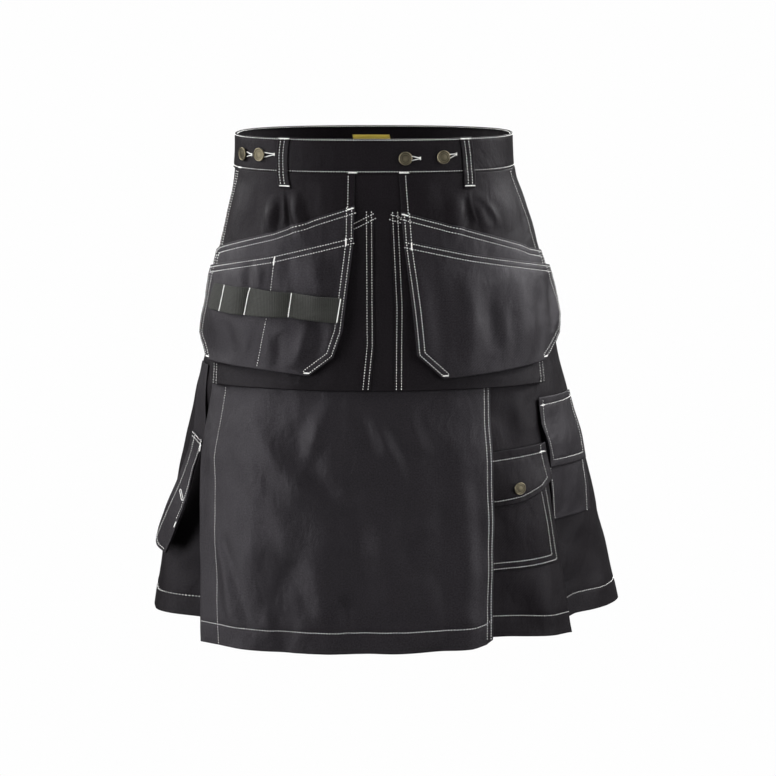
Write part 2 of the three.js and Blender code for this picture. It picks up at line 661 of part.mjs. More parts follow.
// Belt loops: two at the front, sewn over the band and down past its seam, and three at the back
const loopOnBand = (across, drop) =>
  mix(BAND.outer + BAND_THICK + GAP, nailStand(across, drop) + PLY + 0.4, smooth((drop - 34) / 8));
const loopAtBack = (across, drop) =>
  mix(BAND.mid + BAND_THICK + GAP, PLEAT_LIFT.waist + REST, smooth((drop - 34) / 6));
const LOOP_TOP = -1.5;
const LOOP_END = 57;
const BELT_LOOPS = [
  // bow is how far its middle stands to the wearer's left of its ends
  { name: "belt_loop_front_right", across: -105.5, bow: -3.4, stand: loopOnBand },
  { name: "belt_loop_front_left", across: 109, stand: loopOnBand },
  { name: "belt_loop_back_right", turn: -138, stand: loopAtBack },
  { name: "belt_loop_back_left", turn: 138, stand: loopAtBack },
  { name: "belt_loop_back_centre", turn: 180, stand: loopAtBack },
];
const LOOP_DROPS = [LOOP_TOP, 8, 20, 33, 38, 43, 50, LOOP_END];
for (const { name, across, turn, bow = 0, stand } of BELT_LOOPS) {
  const grid = LOOP_DROPS.map((drop) => {
    const down = (drop - LOOP_TOP) / (LOOP_END - LOOP_TOP);
    const middle = (across ?? acrossAt(turn, drop)) + bow * Math.sin(Math.PI * down);
    const half = LOOP_WIDTH / 2;
    return [-half, 0, half].map((step) => [middle + step, drop]);
  });
  addPiece(name, laidWall(grid, stand), TWILL);
}

// Metal tack buttons, turned: a domed cap with a rolled rim and a sunk middle
const BUTTON_PROFILE = [
  { radius: 0, height: 0 },
  { radius: 0.86, height: 0 },
  { radius: 1, height: 1.1 },
  { radius: 0.97, height: 2.4 },
  { radius: 0.82, height: 2.9 },
  { radius: 0.7, height: 2.2 },
  { radius: 0, height: 2.6 },
];
function addButton(name, across, drop, stand, diameter, folds = []) {
  const profile = BUTTON_PROFILE.map(
    ({ radius, height }) => new THREE.Vector2((radius * diameter) / 2, height),
  );
  const button = addPiece(name, new THREE.LatheGeometry(profile, 18), ANTIQUE_BRASS);
  const out = clothPoint(across, drop, stand + 10, folds).sub(clothPoint(across, drop, stand, folds));
  button.quaternion.setFromUnitVectors(new THREE.Vector3(0, 1, 0), out.normalize());
  button.position.copy(clothPoint(across, drop, stand, folds));
}
const ON_BAND = BAND.outer + BAND_THICK + 1; // the cap clears the curved band behind it
addButton("waist_button_left_outer", 80, 21, ON_BAND, BUTTON_DIAMETER);
addButton("waist_button_left_inner", 36, 22, ON_BAND, BUTTON_DIAMETER);
addButton("waist_button_right_inner", -139, 20, ON_BAND, BUTTON_DIAMETER);
addButton("waist_button_right_outer", -169, 21, ON_BAND + 0.2, BUTTON_DIAMETER);
addButton("cargo_snap", 171, 406, flapStand(171, 406) + CLOTH + 1.6, 15, UNDER_FOLDS);

// Plain woven label inside the back of the waistband
const LABEL = { halfWidth: 23, top: 12, bottom: 37, thick: 0.6, offCentre: 4 };
const labelGrid = [LABEL.top, LABEL.bottom].map((drop) => {
  const middle = acrossAt(180, drop) + LABEL.offCentre;
  return [-1, -0.5, 0, 0.5, 1].map((share) => [middle + share * LABEL.halfWidth, drop]);
});
addPiece("inside_label",
  laidWall(labelGrid, () => BAND.mid - REST - LABEL.thick, { thick: LABEL.thick }), LABEL_WEAVE);

export default kilt;
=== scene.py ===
import math

import bpy
import numpy as np
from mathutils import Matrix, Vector


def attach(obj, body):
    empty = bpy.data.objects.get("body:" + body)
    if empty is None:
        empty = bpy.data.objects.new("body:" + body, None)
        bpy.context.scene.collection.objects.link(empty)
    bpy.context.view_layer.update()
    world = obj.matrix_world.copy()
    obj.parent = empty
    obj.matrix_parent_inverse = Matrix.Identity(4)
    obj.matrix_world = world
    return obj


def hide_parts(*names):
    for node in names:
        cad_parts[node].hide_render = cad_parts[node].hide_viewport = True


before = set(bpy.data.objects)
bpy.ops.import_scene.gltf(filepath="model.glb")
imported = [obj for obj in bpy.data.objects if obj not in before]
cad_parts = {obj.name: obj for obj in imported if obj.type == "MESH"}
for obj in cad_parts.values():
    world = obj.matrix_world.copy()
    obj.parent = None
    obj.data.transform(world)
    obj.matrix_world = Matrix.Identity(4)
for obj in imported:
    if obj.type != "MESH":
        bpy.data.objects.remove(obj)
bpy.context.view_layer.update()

# Camera: a long lens 2.7 m in front of the kilt and a little above its waistband, looking
# slightly down, as a catalogue studio photographs a garment.
CAMERA_PLACE = (0.016, -2.7, 0.206)
CAMERA_PITCH = math.radians(90 - 10.53)
CAMERA_LENS = 102.8
camera = bpy.data.objects.new("camera", bpy.data.cameras.new("camera"))
camera.location = CAMERA_PLACE
camera.rotation_euler = (CAMERA_PITCH, 0, 0)
camera.data.lens = CAMERA_LENS
camera.data.sensor_width = 36
bpy.context.scene.collection.objects.link(camera)
bpy.context.scene.camera = camera

# Studio: a seamless sweep of white paper, which lies below knee height, rises far away all round
# and is lit by itself, so that it stays even. Soft boxes in front, at both sides and behind give
# the cloth its sheen, and a dim white room fills the rest.
FLOOR_Z = -1.05
SWEEP = [(0.5, 0), (6, 0), (20, 0), (28, 2), (33, 7), (37, 14), (39, 24)]  # radius, rise
SWEEP_TURNS = 64
ROOM_LIGHT = 0.12
bpy.context.scene.view_settings.view_transform = "Standard"


def to_linear(hex_colour):
    """The linear RGBA of an sRGB hex colour such as 2b2a2d."""
    srgb = [int(hex_colour[i:i + 2], 16) / 255 for i in (0, 2, 4)]
    return [c / 12.92 if c <= 0.04045 else ((c + 0.055) / 1.055) ** 2.4 for c in srgb] + [1]


def add(tree, kind, inputs=None, **settings):
    """Adds a node with its settings; an input is a value or another node's socket."""
    node = tree.nodes.new(kind)
    for name, value in settings.items():
        setattr(node, name, value)
    for name, value in (inputs or {}).items():
        if isinstance(value, bpy.types.NodeSocket):
            tree.links.new(value, node.inputs[name])
        else:
            node.inputs[name].default_value = value
    return node


def new_material(name):
    """An empty material and its node tree."""
    material = bpy.data.materials.new(name)
    material.use_nodes = True
    material.node_tree.nodes.clear()
    return material, material.node_tree


paper, tree = new_material("white_studio_paper")
shader = add(tree, "ShaderNodeEmission", {"Color": to_linear("fefefe"), "Strength": 1.0})
add(tree, "ShaderNodeOutputMaterial", {"Surface": shader.outputs["Emission"]})

points = [(0, 0, FLOOR_Z)]
faces = []
for ring, (radius, rise) in enumerate(SWEEP):
    for k in range(SWEEP_TURNS):
        angle = 2 * math.pi * k / SWEEP_TURNS
        points.append((radius * math.cos(angle), radius * math.sin(angle), FLOOR_Z + rise))
        a, b = 1 + ring * SWEEP_TURNS + k, 1 + ring * SWEEP_TURNS + (k + 1) % SWEEP_TURNS
        faces.append((a, b, 0) if ring == 0 else (a, b, b - SWEEP_TURNS, a - SWEEP_TURNS))
floor_mesh = bpy.data.meshes.new("studio_floor")
floor_mesh.from_pydata(points, [], faces)
floor_mesh.materials.append(paper)
floor = bpy.data.objects.new("studio_floor", floor_mesh)
bpy.context.scene.collection.objects.link(floor)
floor.visible_diffuse = False  # it bounces no light up on the kilt
floor.visible_glossy = False

world = bpy.data.worlds.new("pale_room")
world.use_nodes = True
world.node_tree.nodes["Background"].inputs["Color"].default_value = to_linear("ffffff")
world.node_tree.nodes["Background"].inputs["Strength"].default_value = ROOM_LIGHT
bpy.context.scene.world = world

SOFT_BOXES = [  # name, place, watts
    ("soft_box_front", (0.0, -2.4, -0.6), 12),
    ("soft_box_right_front", (-2.0, -1.7, 0.5), 34),
    ("soft_box_left_front", (2.0, -1.7, 0.4), 24),
    ("soft_box_right_low", (-2.2, -0.9, -0.5), 39),
    ("soft_box_left_low", (2.2, -0.9, -0.5), 21),
    ("soft_box_right_high", (-1.9, -0.8, 2.2), 39),
    ("soft_box_left_high", (1.9, -0.8, 2.2), 28),
    ("soft_box_right_back", (-2.2, 0.5, 1.0), 76),
    ("soft_box_left_back", (2.2, 0.5, 1.0), 100),
    ("soft_box_back", (0.6, 2.2, 1.4), 57),
]
SOFT_BOX_SIZE = 1.2
SOFT_BOX_AIM = Vector((0, 0, -0.3))
for name, place, watts in SOFT_BOXES:
    light = bpy.data.objects.new(name, bpy.data.lights.new(name, "AREA"))
    light.data.shape = "SQUARE"
    light.data.size = SOFT_BOX_SIZE
    light.data.energy = watts
    light.location = place
    light.rotation_euler = (SOFT_BOX_AIM - Vector(place)).to_track_quat("-Z", "Y").to_euler()
    bpy.context.scene.collection.objects.link(light)

# Under layer: the skirt itself, a front and two side panels of black twill cut to flare, as the
# real one is worn. It is hemmed with one row of white lockstitch and falls in a few soft pleats.
# Lengths of cloth are in millimetres: across is round the form from the front centre, + to the
# wearer's left, drop is down from the waistband's top edge, and out is away from the form.
BAND_HEIGHT = 40
CLOTH = 1.2  # one ply's thickness
GAP = 0.3  # between pieces that meet edge to edge
REST = 0.75  # how far a ply stands off the one that it lies on
PLY = CLOTH + REST
SKIRT_TOP = BAND_HEIGHT + GAP
YOKE_LENGTH = 287
HEM = 586
SKIRT_LENGTH = HEM - SKIRT_TOP
FORM_COLUMNS = ("drop", "right", "left", "front", "back", "square")
FORM = [
    (-5, 166, 166, 120, 120, 2.5),
    (42, 169, 169, 123, 128, 2.5),
    (85, 177, 184, 130, 146, 2.4),
    (130, 188, 198, 139, 160, 2.3),
    (200, 201, 212, 154, 172, 2.2),
    (265, 209, 224, 166, 177, 2.2),
    (325, 224, 241, 177, 181, 2.1),
    (400, 238, 259, 188, 188, 2.1),
    (520, 262, 287, 206, 200, 2.1),
    (600, 276, 305, 217, 208, 2.1),
]
# A fold is the place across of its crease at its top and at the hem, the drops where it starts,
# is full and ends, its reach before and after the crease, and how far it lifts the cloth.
UNDER_FOLDS = [
    (-250, -285, 285, 520, None, 80, 100, -58),  # the deep pleat behind the apron's edge
    (-335, -392, 260, 520, None, 60, 50, 5),
    (211, 265, 285, 586, None, 11, 116, -31),  # the side pleat beside the phone pocket
    (186, 214, 320, 586, None, 70, 44, 7),
    (372, 402, 300, 586, None, 40, 40, 5),
]
HEM_RISE = np.array([  # across, rise
    (-420, 0), (-360, -5), (-300, -4), (-240, 0), (60, 0), (110, 10), (164, 7), (214, 2),
    (270, -3), (282, 4), (300, 9), (390, 7), (470, 0)], float)


def smooth(t):
    t = np.clip(t, 0, 1)
    return t * t * (3 - 2 * t)


def mix(a, b, t):
    return a + (b - a) * t


def section_value(column, drop):
    """One column of the form's table on a smooth curve through its rows."""
    rows = np.array(FORM, float)
    d, v = rows[:, 0], rows[:, FORM_COLUMNS.index(column)]
    i = np.clip(np.searchsorted(d, drop, "right") - 1, 0, len(d) - 2)
    before, after = np.maximum(i - 1, 0), np.minimum(i + 2, len(d) - 1)
    span = d[i + 1] - d[i]
    slope_a = (v[i + 1] - v[before]) / (d[i + 1] - d[before]) * span
    slope_b = (v[after] - v[i]) / (d[after] - d[i]) * span
    t = np.clip((drop - d[i]) / span, 0, 1)
    return ((2 * t ** 3 - 3 * t ** 2 + 1) * v[i] + (t ** 3 - 2 * t ** 2 + t) * slope_a
            + (3 * t ** 2 - 2 * t ** 3) * v[i + 1] + (t ** 3 - t ** 2) * slope_b)


# The form is read at every millimetre of drop, with the distance round it at every three degrees.
DROPS = np.arange(-6, 612.0)
SECTIONS = {column: section_value(column, DROPS) for column in FORM_COLUMNS[1:]}
TURNS = np.arange(-450, 451, 3.0)  # past the back centre it carries on round
ACROSS_STEP = 2.0
ACROSS_REACH = 1200.0


def plan_point(turn, drop, grow):
    """Where a turn from the front centre, in degrees, meets the form, moved out by grow."""
    s, c = np.sin(np.radians(turn)), np.cos(np.radians(turn))
    value = {column: np.interp(drop, DROPS, rows) for column, rows in SECTIONS.items()}
    width = np.where(s >= 0, value["left"], value["right"])
    depth = np.where(c >= 0, value["front"], value["back"])
    total = (np.abs(s) / width) ** value["square"] + (np.abs(c) / depth) ** value["square"]
    radius = total ** (-1 / value["square"]) + grow
    return radius * s, -radius * c


def rounds_at(drop):
    """The distances round the form at each of the turns."""
    x, y = plan_point(TURNS, np.full(TURNS.shape, drop), 0)
    steps = np.hypot(np.diff(x), np.diff(y))
    total = np.concatenate([[0], np.cumsum(steps)])
    return total - total[len(TURNS) // 2]


ROUNDS = np.array([rounds_at(drop) for drop in DROPS])
ACROSS_GRID = np.arange(-ACROSS_REACH, ACROSS_REACH + 1, ACROSS_STEP)
TURN_OF = np.array([np.interp(ACROSS_GRID, rounds, TURNS) for rounds in ROUNDS])


def turn_at(across, drop):
    """The turn at a distance across, read between the rows and columns of the table."""
    i = np.clip(drop - DROPS[0], 0, len(DROPS) - 1.001)
    j = np.clip((across + ACROSS_REACH) / ACROSS_STEP, 0, len(ACROSS_GRID) - 1.001)
    i0, j0 = i.astype(int), j.astype(int)
    fi, fj = i - i0, j - j0
    upper = mix(TURN_OF[i0, j0], TURN_OF[i0, j0 + 1], fj)
    lower = mix(TURN_OF[i0 + 1, j0], TURN_OF[i0 + 1, j0 + 1], fj)
    return mix(upper, lower, fi)


def across_at(turn, drop):
    """The distance across at a turn, for plain numbers."""
    row = ROUNDS[int(round(drop - DROPS[0]))]
    return np.interp(turn, TURNS, row)


def crease_at(fold, drop):
    top, hem, from_drop, _, end = fold[:5]
    return mix(top, hem, (drop - from_drop) / ((end or HEM) - from_drop))


def fold_lift(folds, across, drop):
    """How far the largest folds lift the cloth off the form."""
    total = np.zeros(np.broadcast(across, drop).shape)
    for fold in folds:
        _, _, from_drop, full, end, before, after, lift = fold
        away = across - crease_at(fold, drop)
        reach = np.where(away < 0, before, after)
        rise = smooth((drop - from_drop) / (full - from_drop))
        if end:
            rise = rise * (1 - smooth((drop - full) / (end - full)))
        bump = np.cos(np.clip(away / reach, -1, 1) * math.pi / 2) ** 2
        total = total + lift * rise * bump
    return total


def cloth_point(across, drop, out, folds):
    """A point of cloth: on the form, lifted by its folds, and set out along its own normal."""
    across, drop = np.asarray(across, float), np.asarray(drop, float)
    spots = [plan_point(turn_at(a, drop), drop, fold_lift(folds, a, drop))
             for a in (across - 2, across, across + 2)]
    along = np.array(spots[2]) - np.array(spots[0])
    along /= np.hypot(*along)
    x, y = spots[1]
    return np.stack([x + along[1] * out, y - along[0] * out, BAND_HEIGHT / 2 - drop], -1)


def creases(rows):
    """Soft creases, given one by one. Each row is a line's two ends, how far it bows to one side,
    its half width, and its depth: below 0 a trough, above 0 a ridge. It fades out at both ends."""
    def relief(across, drop):
        total = np.zeros(np.broadcast(across, drop).shape)
        for a0, d0, a1, d1, bow, width, depth in rows:
            length = math.hypot(a1 - a0, d1 - d0)
            ua, ud = (a1 - a0) / length, (d1 - d0) / length
            t = ((across - a0) * ua + (drop - d0) * ud) / length
            side = (across - a0) * ud - (drop - d0) * ua - 4 * bow * t * (1 - t)
            fade = np.sin(np.clip(t, 0, 1) * math.pi) ** 0.8
            total = total + depth * fade * np.exp(-((side / width) ** 2))
        return total
    return relief


def line_distance(line, across, drop):
    """How far each place lies from a line of corners, and how far along the line."""
    best = np.full(across.shape, 1e9)
    along = np.zeros(across.shape)
    start = 0
    for (a0, d0), (a1, d1) in zip(line, line[1:]):
        length = math.hypot(a1 - a0, d1 - d0)
        t = np.clip(((across - a0) * (a1 - a0) + (drop - d0) * (d1 - d0)) / length ** 2, 0, 1)
        away = np.hypot(across - a0 - t * (a1 - a0), drop - d0 - t * (d1 - d0))
        nearer = away < best
        best = np.where(nearer, away, best)
        along = np.where(nearer, start + t * length, along)
        start += length
    return best, along


STITCH_PRESS = 0.45  # how deep a row of stitches presses into the cloth
STITCH_GROOVE = 1.5  # half the width of that groove
PUCKER = 0.168  # how far the cloth ripples beside it
PUCKER_LENGTH = 10.0
PUCKER_REACH = 6


def stitch_relief(lines):
    """The groove under each row of stitches and the small puckers beside it."""
    def relief(across, drop):
        total = np.zeros(across.shape)
        for k, line in enumerate(lines):
            away, along = line_distance(line, across, drop)
            ripple = np.sin(along * 2 * math.pi / PUCKER_LENGTH + 1.7 * k)
            ripple += 0.6 * np.sin(along * 2 * math.pi / (PUCKER_LENGTH * 1.63) + 0.9 * k)
            total += -STITCH_PRESS * np.exp(-((away / STITCH_GROOVE) ** 2))
            total += PUCKER * ripple * np.exp(-((away / PUCKER_REACH) ** 2))
        return total
    return relief


def waver(seed, size, height):
    """The faint unevenness of worn cloth: a smooth random surface of the given grain."""
    n = 64
    cells = np.random.RandomState(seed).rand(n, n) * 2 - 1

    def relief(across, drop):
        u, v = across / size + 200.0, drop / size + 200.0
        i, j = np.floor(u).astype(int), np.floor(v).astype(int)
        fu, fv = smooth(u - i), smooth(v - j)
        near = mix(cells[i % n, j % n], cells[(i + 1) % n, j % n], fu)
        far = mix(cells[i % n, (j + 1) % n], cells[(i + 1) % n, (j + 1) % n], fu)
        return height * mix(near, far, fv)
    return relief


def worn(seed, height):
    """Two grains of unevenness together, the finer one along the grain of the cloth."""
    broad, fine = waver(seed, 34, height), waver(seed + 50, 13, height * 0.38)
    return lambda across, drop: broad(across, drop) + fine(across, drop * 0.6)


def laid(stand, folds=(), reliefs=()):
    """How a piece lies: a function from a place on its pattern, and a height above its inner
    face, to a point in space."""
    def place(across, drop, height):
        across, drop = np.asarray(across, float), np.asarray(drop, float)
        out = stand(across, drop) + height
        for relief in reliefs:
            out = out + relief(across, drop)
        return cloth_point(across, drop, out, folds)
    return place


# The mesh's rows near an edge and near a hem, close together where stitches lie.
BORDER = np.array([0, 1.1, 2.2, 3.3, 5.0, 6.7, 7.8, 8.9, 10.6])
HEM_DEPTH = 24
HEM_BORDER = np.array([0, 1.2, 3.0, 7, 12, 17, 21, 22.8, 24, 25.2, 27])


def spread(length, middle, end=BORDER):
    """Places along a length: close together near both ends, even between."""
    scale = min(1, length / (BORDER[-1] * 2.6))
    start = BORDER * scale
    end = end if end is HEM_BORDER else start
    inner = np.linspace(start[-1], length - end[-1], middle + 2)[1:-1]
    return np.concatenate([start, inner, (length - end)[::-1]]) / length


def read_edge(corners, axis, share):
    corners = np.array(corners, float)
    places = (corners[:, axis] - corners[0, axis]) / (corners[-1, axis] - corners[0, axis])
    return np.stack([np.interp(share, places, corners[:, k]) for k in (0, 1)], -1)


def pattern_grid(top, bottom, right, left, step, hem=BORDER):
    """A cut piece between its four edges, as rows of places. Top and bottom run from the
    wearer's right to left, and the two sides run down."""
    shares = np.linspace(0, 1, 9)
    widths = np.linalg.norm(read_edge(left, 1, shares) - read_edge(right, 1, shares), axis=-1)
    heights = np.linalg.norm(read_edge(bottom, 0, shares) - read_edge(top, 0, shares), axis=-1)
    columns = max(1, int(widths.mean() / step))
    rows = max(1, int(heights.mean() / step))
    even_across, even_down = spread(widths.mean(), columns), spread(heights.mean(), rows, hem)
    over = np.array([spread(w, columns) for w in np.interp(even_down, shares, widths)])
    down = np.array([spread(h, rows, hem) for h in np.interp(even_across, shares, heights)]).T
    ends = [np.array(p, float) for p in (top[0], top[-1], bottom[0], bottom[-1])]
    s, t = over[..., None], down[..., None]
    flat = mix(mix(ends[0], ends[1], s), mix(ends[2], ends[3], s), t)
    grid = (mix(read_edge(top, 0, over), read_edge(bottom, 0, over), t)
            + mix(read_edge(right, 1, down), read_edge(left, 1, down), s) - flat)
    return grid[..., 0], grid[..., 1]


def link(name, points, faces, material, cut=None):
    """A smooth mesh object from points in millimetres. cut keeps each point's place on the
    pattern, so that the weave follows the cloth's grain."""
    mesh = bpy.data.meshes.new(name)
    mesh.from_pydata((np.asarray(points) / 1000).tolist(), [], faces)
    mesh.polygons.foreach_set("use_smooth", [True] * len(mesh.polygons))
    if cut is not None:
        layer = mesh.attributes.new("cut", "FLOAT_VECTOR", "POINT")
        layer.data.foreach_set("vector", np.asarray(cut, np.float32).ravel())
    mesh.materials.append(material)
    mesh.update()
    piece = bpy.data.objects.new(name, mesh)
    bpy.context.scene.collection.objects.link(piece)
    return piece


ROUND_EDGE = 0.45


def shell(name, across, drop, place, material, thick=CLOTH, turned_in=0):
    """A closed thin shell of cloth with a rounded edge, and the size that it was cut to.
    turned_in is how much thicker a hem makes it on its inner side."""
    rows, columns = across.shape
    outer, inner = place(across, drop, thick), place(across, drop, -turned_in)
    i, j = np.arange(rows), np.arange(columns)
    ring = ([(0, c) for c in j[:-1]] + [(r, columns - 1) for r in i[:-1]]
            + [(rows - 1, c) for c in j[:0:-1]] + [(r, 0) for r in i[:0:-1]])
    r, c = np.array(ring).T
    r_in, c_in = np.clip(r, 1, rows - 2), np.clip(c, 1, columns - 2)
    away = np.stack([across[r, c] - across[r_in, c_in], drop[r, c] - drop[r_in, c_in]], -1)
    away /= np.linalg.norm(away, axis=1)[:, None]
    rim_across = across[r, c] + away[:, 0] * ROUND_EDGE
    rim_drop = drop[r, c] + away[:, 1] * ROUND_EDGE
    rim = place(rim_across, rim_drop, thick / 2)
    points = np.concatenate([outer.reshape(-1, 3), inner.reshape(-1, 3), rim])
    n = rows * columns
    index = np.arange(n).reshape(rows, columns)
    a, b, d, e = index[:-1, :-1], index[:-1, 1:], index[1:, 1:], index[1:, :-1]
    front = np.stack([a, e, d, b], -1).reshape(-1, 4)
    back = np.stack([a, b, d, e], -1).reshape(-1, 4) + n
    edge = index[r, c]
    nexts = np.roll(np.arange(len(ring)), -1)
    k = np.arange(len(ring))
    lip = np.stack([edge[k], edge[nexts], 2 * n + nexts, 2 * n + k], -1)
    tuck = np.stack([2 * n + k, 2 * n + nexts, n + edge[nexts], n + edge[k]], -1)
    faces = np.concatenate([front, back, lip, tuck])
    corner = points[faces[:, :3]]
    volume = np.einsum("ij,ij->i", corner[:, 0], np.cross(corner[:, 1], corner[:, 2])).sum()
    if volume < 0:
        faces = faces[:, ::-1]
    flat = np.stack([across, drop, np.zeros(across.shape)], -1).reshape(-1, 3)
    rim_flat = np.stack([rim_across, rim_drop, np.zeros(len(ring))], -1)
    piece = link(name, points, faces.tolist(), material, np.concatenate([flat, flat, rim_flat]))
    middle = (outer + inner) / 2
    wide = np.linalg.norm(np.diff(middle, axis=1), axis=-1).sum(1).max()
    long = np.linalg.norm(np.diff(middle, axis=0), axis=-1).sum(0).max()
    sides = middle[1:, :-1] - middle[:-1, 1:], middle[1:, 1:] - middle[:-1, :-1]
    area = np.linalg.norm(np.cross(*sides), axis=-1).sum() / 2
    piece["cut_mm"] = (float(wide), float(long), float(area))
    return piece


# The real stitches are 2.5 mm from hole to hole and their thread is 0.5 mm thick, too fine to
# show one by one at this distance, so they are drawn coarser.
THREAD_RADIUS = 0.43
THREAD_SIDES = 4
THREAD_ARCH = 0.45
STITCH = 3.05
STITCH_GAP = 1.5


def thread_rods(name, starts, ends, place, base, material, side=1):
    """Short lengths of thread on the cloth, each arched between two places on the pattern. side
    is 1 for the outer face and -1 for the inner one."""
    stations = np.array([0, 0.3, 0.7, 1.0])
    height = np.array([-0.25, THREAD_ARCH, THREAD_ARCH, -0.25])
    swell = np.array([0.7, 1.0, 1.0, 0.7])
    spots = starts[:, None] + (ends - starts)[:, None] * stations[:, None]
    lift = base + side * height
    centre = place(spots[..., 0], spots[..., 1], np.broadcast_to(lift, spots.shape[:2]))
    above = place(spots[..., 0], spots[..., 1], np.broadcast_to(lift + 1, spots.shape[:2]))
    normal = above - centre
    run = centre[:, -1:] - centre[:, :1] + np.zeros_like(centre)
    run /= np.linalg.norm(run, axis=-1, keepdims=True)
    normal -= (normal * run).sum(-1, keepdims=True) * run
    normal /= np.linalg.norm(normal, axis=-1, keepdims=True)
    cross = np.cross(run, normal)
    angle = np.arange(THREAD_SIDES) * 2 * math.pi / THREAD_SIDES + math.pi / 2
    reach = THREAD_RADIUS * swell[:, None, None]
    points = (centre[:, :, None] + reach * (np.cos(angle)[:, None] * cross[:, :, None]
                                            + np.sin(angle)[:, None] * normal[:, :, None]))
    count, rings = points.shape[:2]
    base_index = np.arange(count)[:, None, None] * rings * THREAD_SIDES
    ring = np.arange(rings - 1)[None, :, None] * THREAD_SIDES
    k = np.arange(THREAD_SIDES)
    nexts = (k + 1) % THREAD_SIDES
    corner = base_index + ring
    quads = np.stack([corner + k, corner + nexts,
                      corner + THREAD_SIDES + nexts, corner + THREAD_SIDES + k], -1)
    first = base_index[:, 0] + k[::-1]
    last = base_index[:, 0] + (rings - 1) * THREAD_SIDES + k
    faces = quads.reshape(-1, 4).tolist() + first.tolist() + last.tolist()
    return link(name, points.reshape(-1, 3), faces, material)


def stitches_on(line):
    """The two ends of every stitch along a line of corners on the pattern."""
    line = np.array(line, float)
    lengths = np.linalg.norm(np.diff(line, axis=0), axis=1)
    total = np.concatenate([[0], np.cumsum(lengths)])
    count = max(1, int(total[-1] / STITCH))
    pitch = total[-1] / count
    begin = np.arange(count) * pitch + STITCH_GAP / 2

    def spot(s):
        return np.stack([np.interp(s, total, line[:, k]) for k in (0, 1)], -1)
    return spot(begin), spot(begin + pitch - STITCH_GAP)


BARTACK_PITCH = 0.55


def bartack(a0, d0, a1, d1, width=1.7):
    """The close zigzag of a bar tack between two places on the pattern."""
    length = math.hypot(a1 - a0, d1 - d0)
    count = max(4, int(length / BARTACK_PITCH))
    t = (np.arange(count) + 0.5) / count
    ua, ud = (a1 - a0) / length, (d1 - d0) / length
    middle = np.stack([mix(a0, a1, t), mix(d0, d1, t)], -1)
    slant = np.where(np.arange(count) % 2, 0.3, -0.3)[:, None]
    half = np.array([-ud, ua]) * width / 2 + slant * np.array([ua, ud])
    return middle - half, middle + half


def inset(line, distance):
    """A line of corners moved sideways, to its right as it runs, by a distance."""
    line = np.array(line, float)
    run = np.diff(line, axis=0)
    run /= np.linalg.norm(run, axis=1)[:, None]
    side = np.stack([-run[:, 1], run[:, 0]], -1)
    moved = []
    for k in range(len(line)):
        a, b = side[max(k - 1, 0)], side[min(k, len(side) - 1)]
        bisector = (a + b) / (1 + a @ b)
        moved.append(tuple(line[k] + bisector * distance))
    return moved


def clipped(line, start, end):
    """The part of a line of corners, which runs down, between two drops."""
    line = np.array(line, float)

    def at(drop):
        return float(np.interp(drop, line[:, 1], line[:, 0])), drop
    return [at(start)] + [tuple(p) for p in line if start < p[1] < end] + [at(end)]


def straight_sides(top, bottom):
    """A piece with straight sides, from its corners at the top and at the bottom."""
    return dict(top=top, bottom=bottom, right=[top[0], bottom[0]], left=[top[-1], bottom[-1]])


def sew(name, place, thick, lines=(), tacks=(), side=1):
    """All the white thread on one piece: its rows of lockstitch and its bar tacks."""
    pairs = [stitches_on(line) for line in lines] + [bartack(*tack) for tack in tacks]
    starts = np.concatenate([pair[0] for pair in pairs])
    ends = np.concatenate([pair[1] for pair in pairs])
    base = thick if side > 0 else 0
    thread = thread_rods(name, starts, ends, place, base, thread_white, side)
    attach(thread, "root")
    return thread


def finish_cloth(piece, node):
    """Says what a piece of cloth replaces and what holds it."""
    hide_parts(node)
    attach(piece, "root")


def pattern_place(tree):
    """Each point's place on the cut pattern, in millimetres."""
    place = add(tree, "ShaderNodeAttribute", attribute_name="cut", attribute_type="GEOMETRY")
    return place.outputs["Vector"]


def blend(tree, factor, dark, light):
    """A colour between two sRGB ones."""
    colours = {"Factor": factor, "A": to_linear(dark), "B": to_linear(light)}
    return add(tree, "ShaderNodeMix", colours, data_type="RGBA").outputs["Result"]


def surface(tree, inputs):
    """The material's shader, joined to its output."""
    shader = add(tree, "ShaderNodeBsdfPrincipled", inputs)
    add(tree, "ShaderNodeOutputMaterial", {"Surface": shader.outputs["BSDF"]})


WAVE = 0.314  # a wave texture of this scale repeats every millimetre
TWILL_RIB = 1.5
TWILL_TURN = math.radians(58)
CRUMPLE_TURN = math.radians(35)


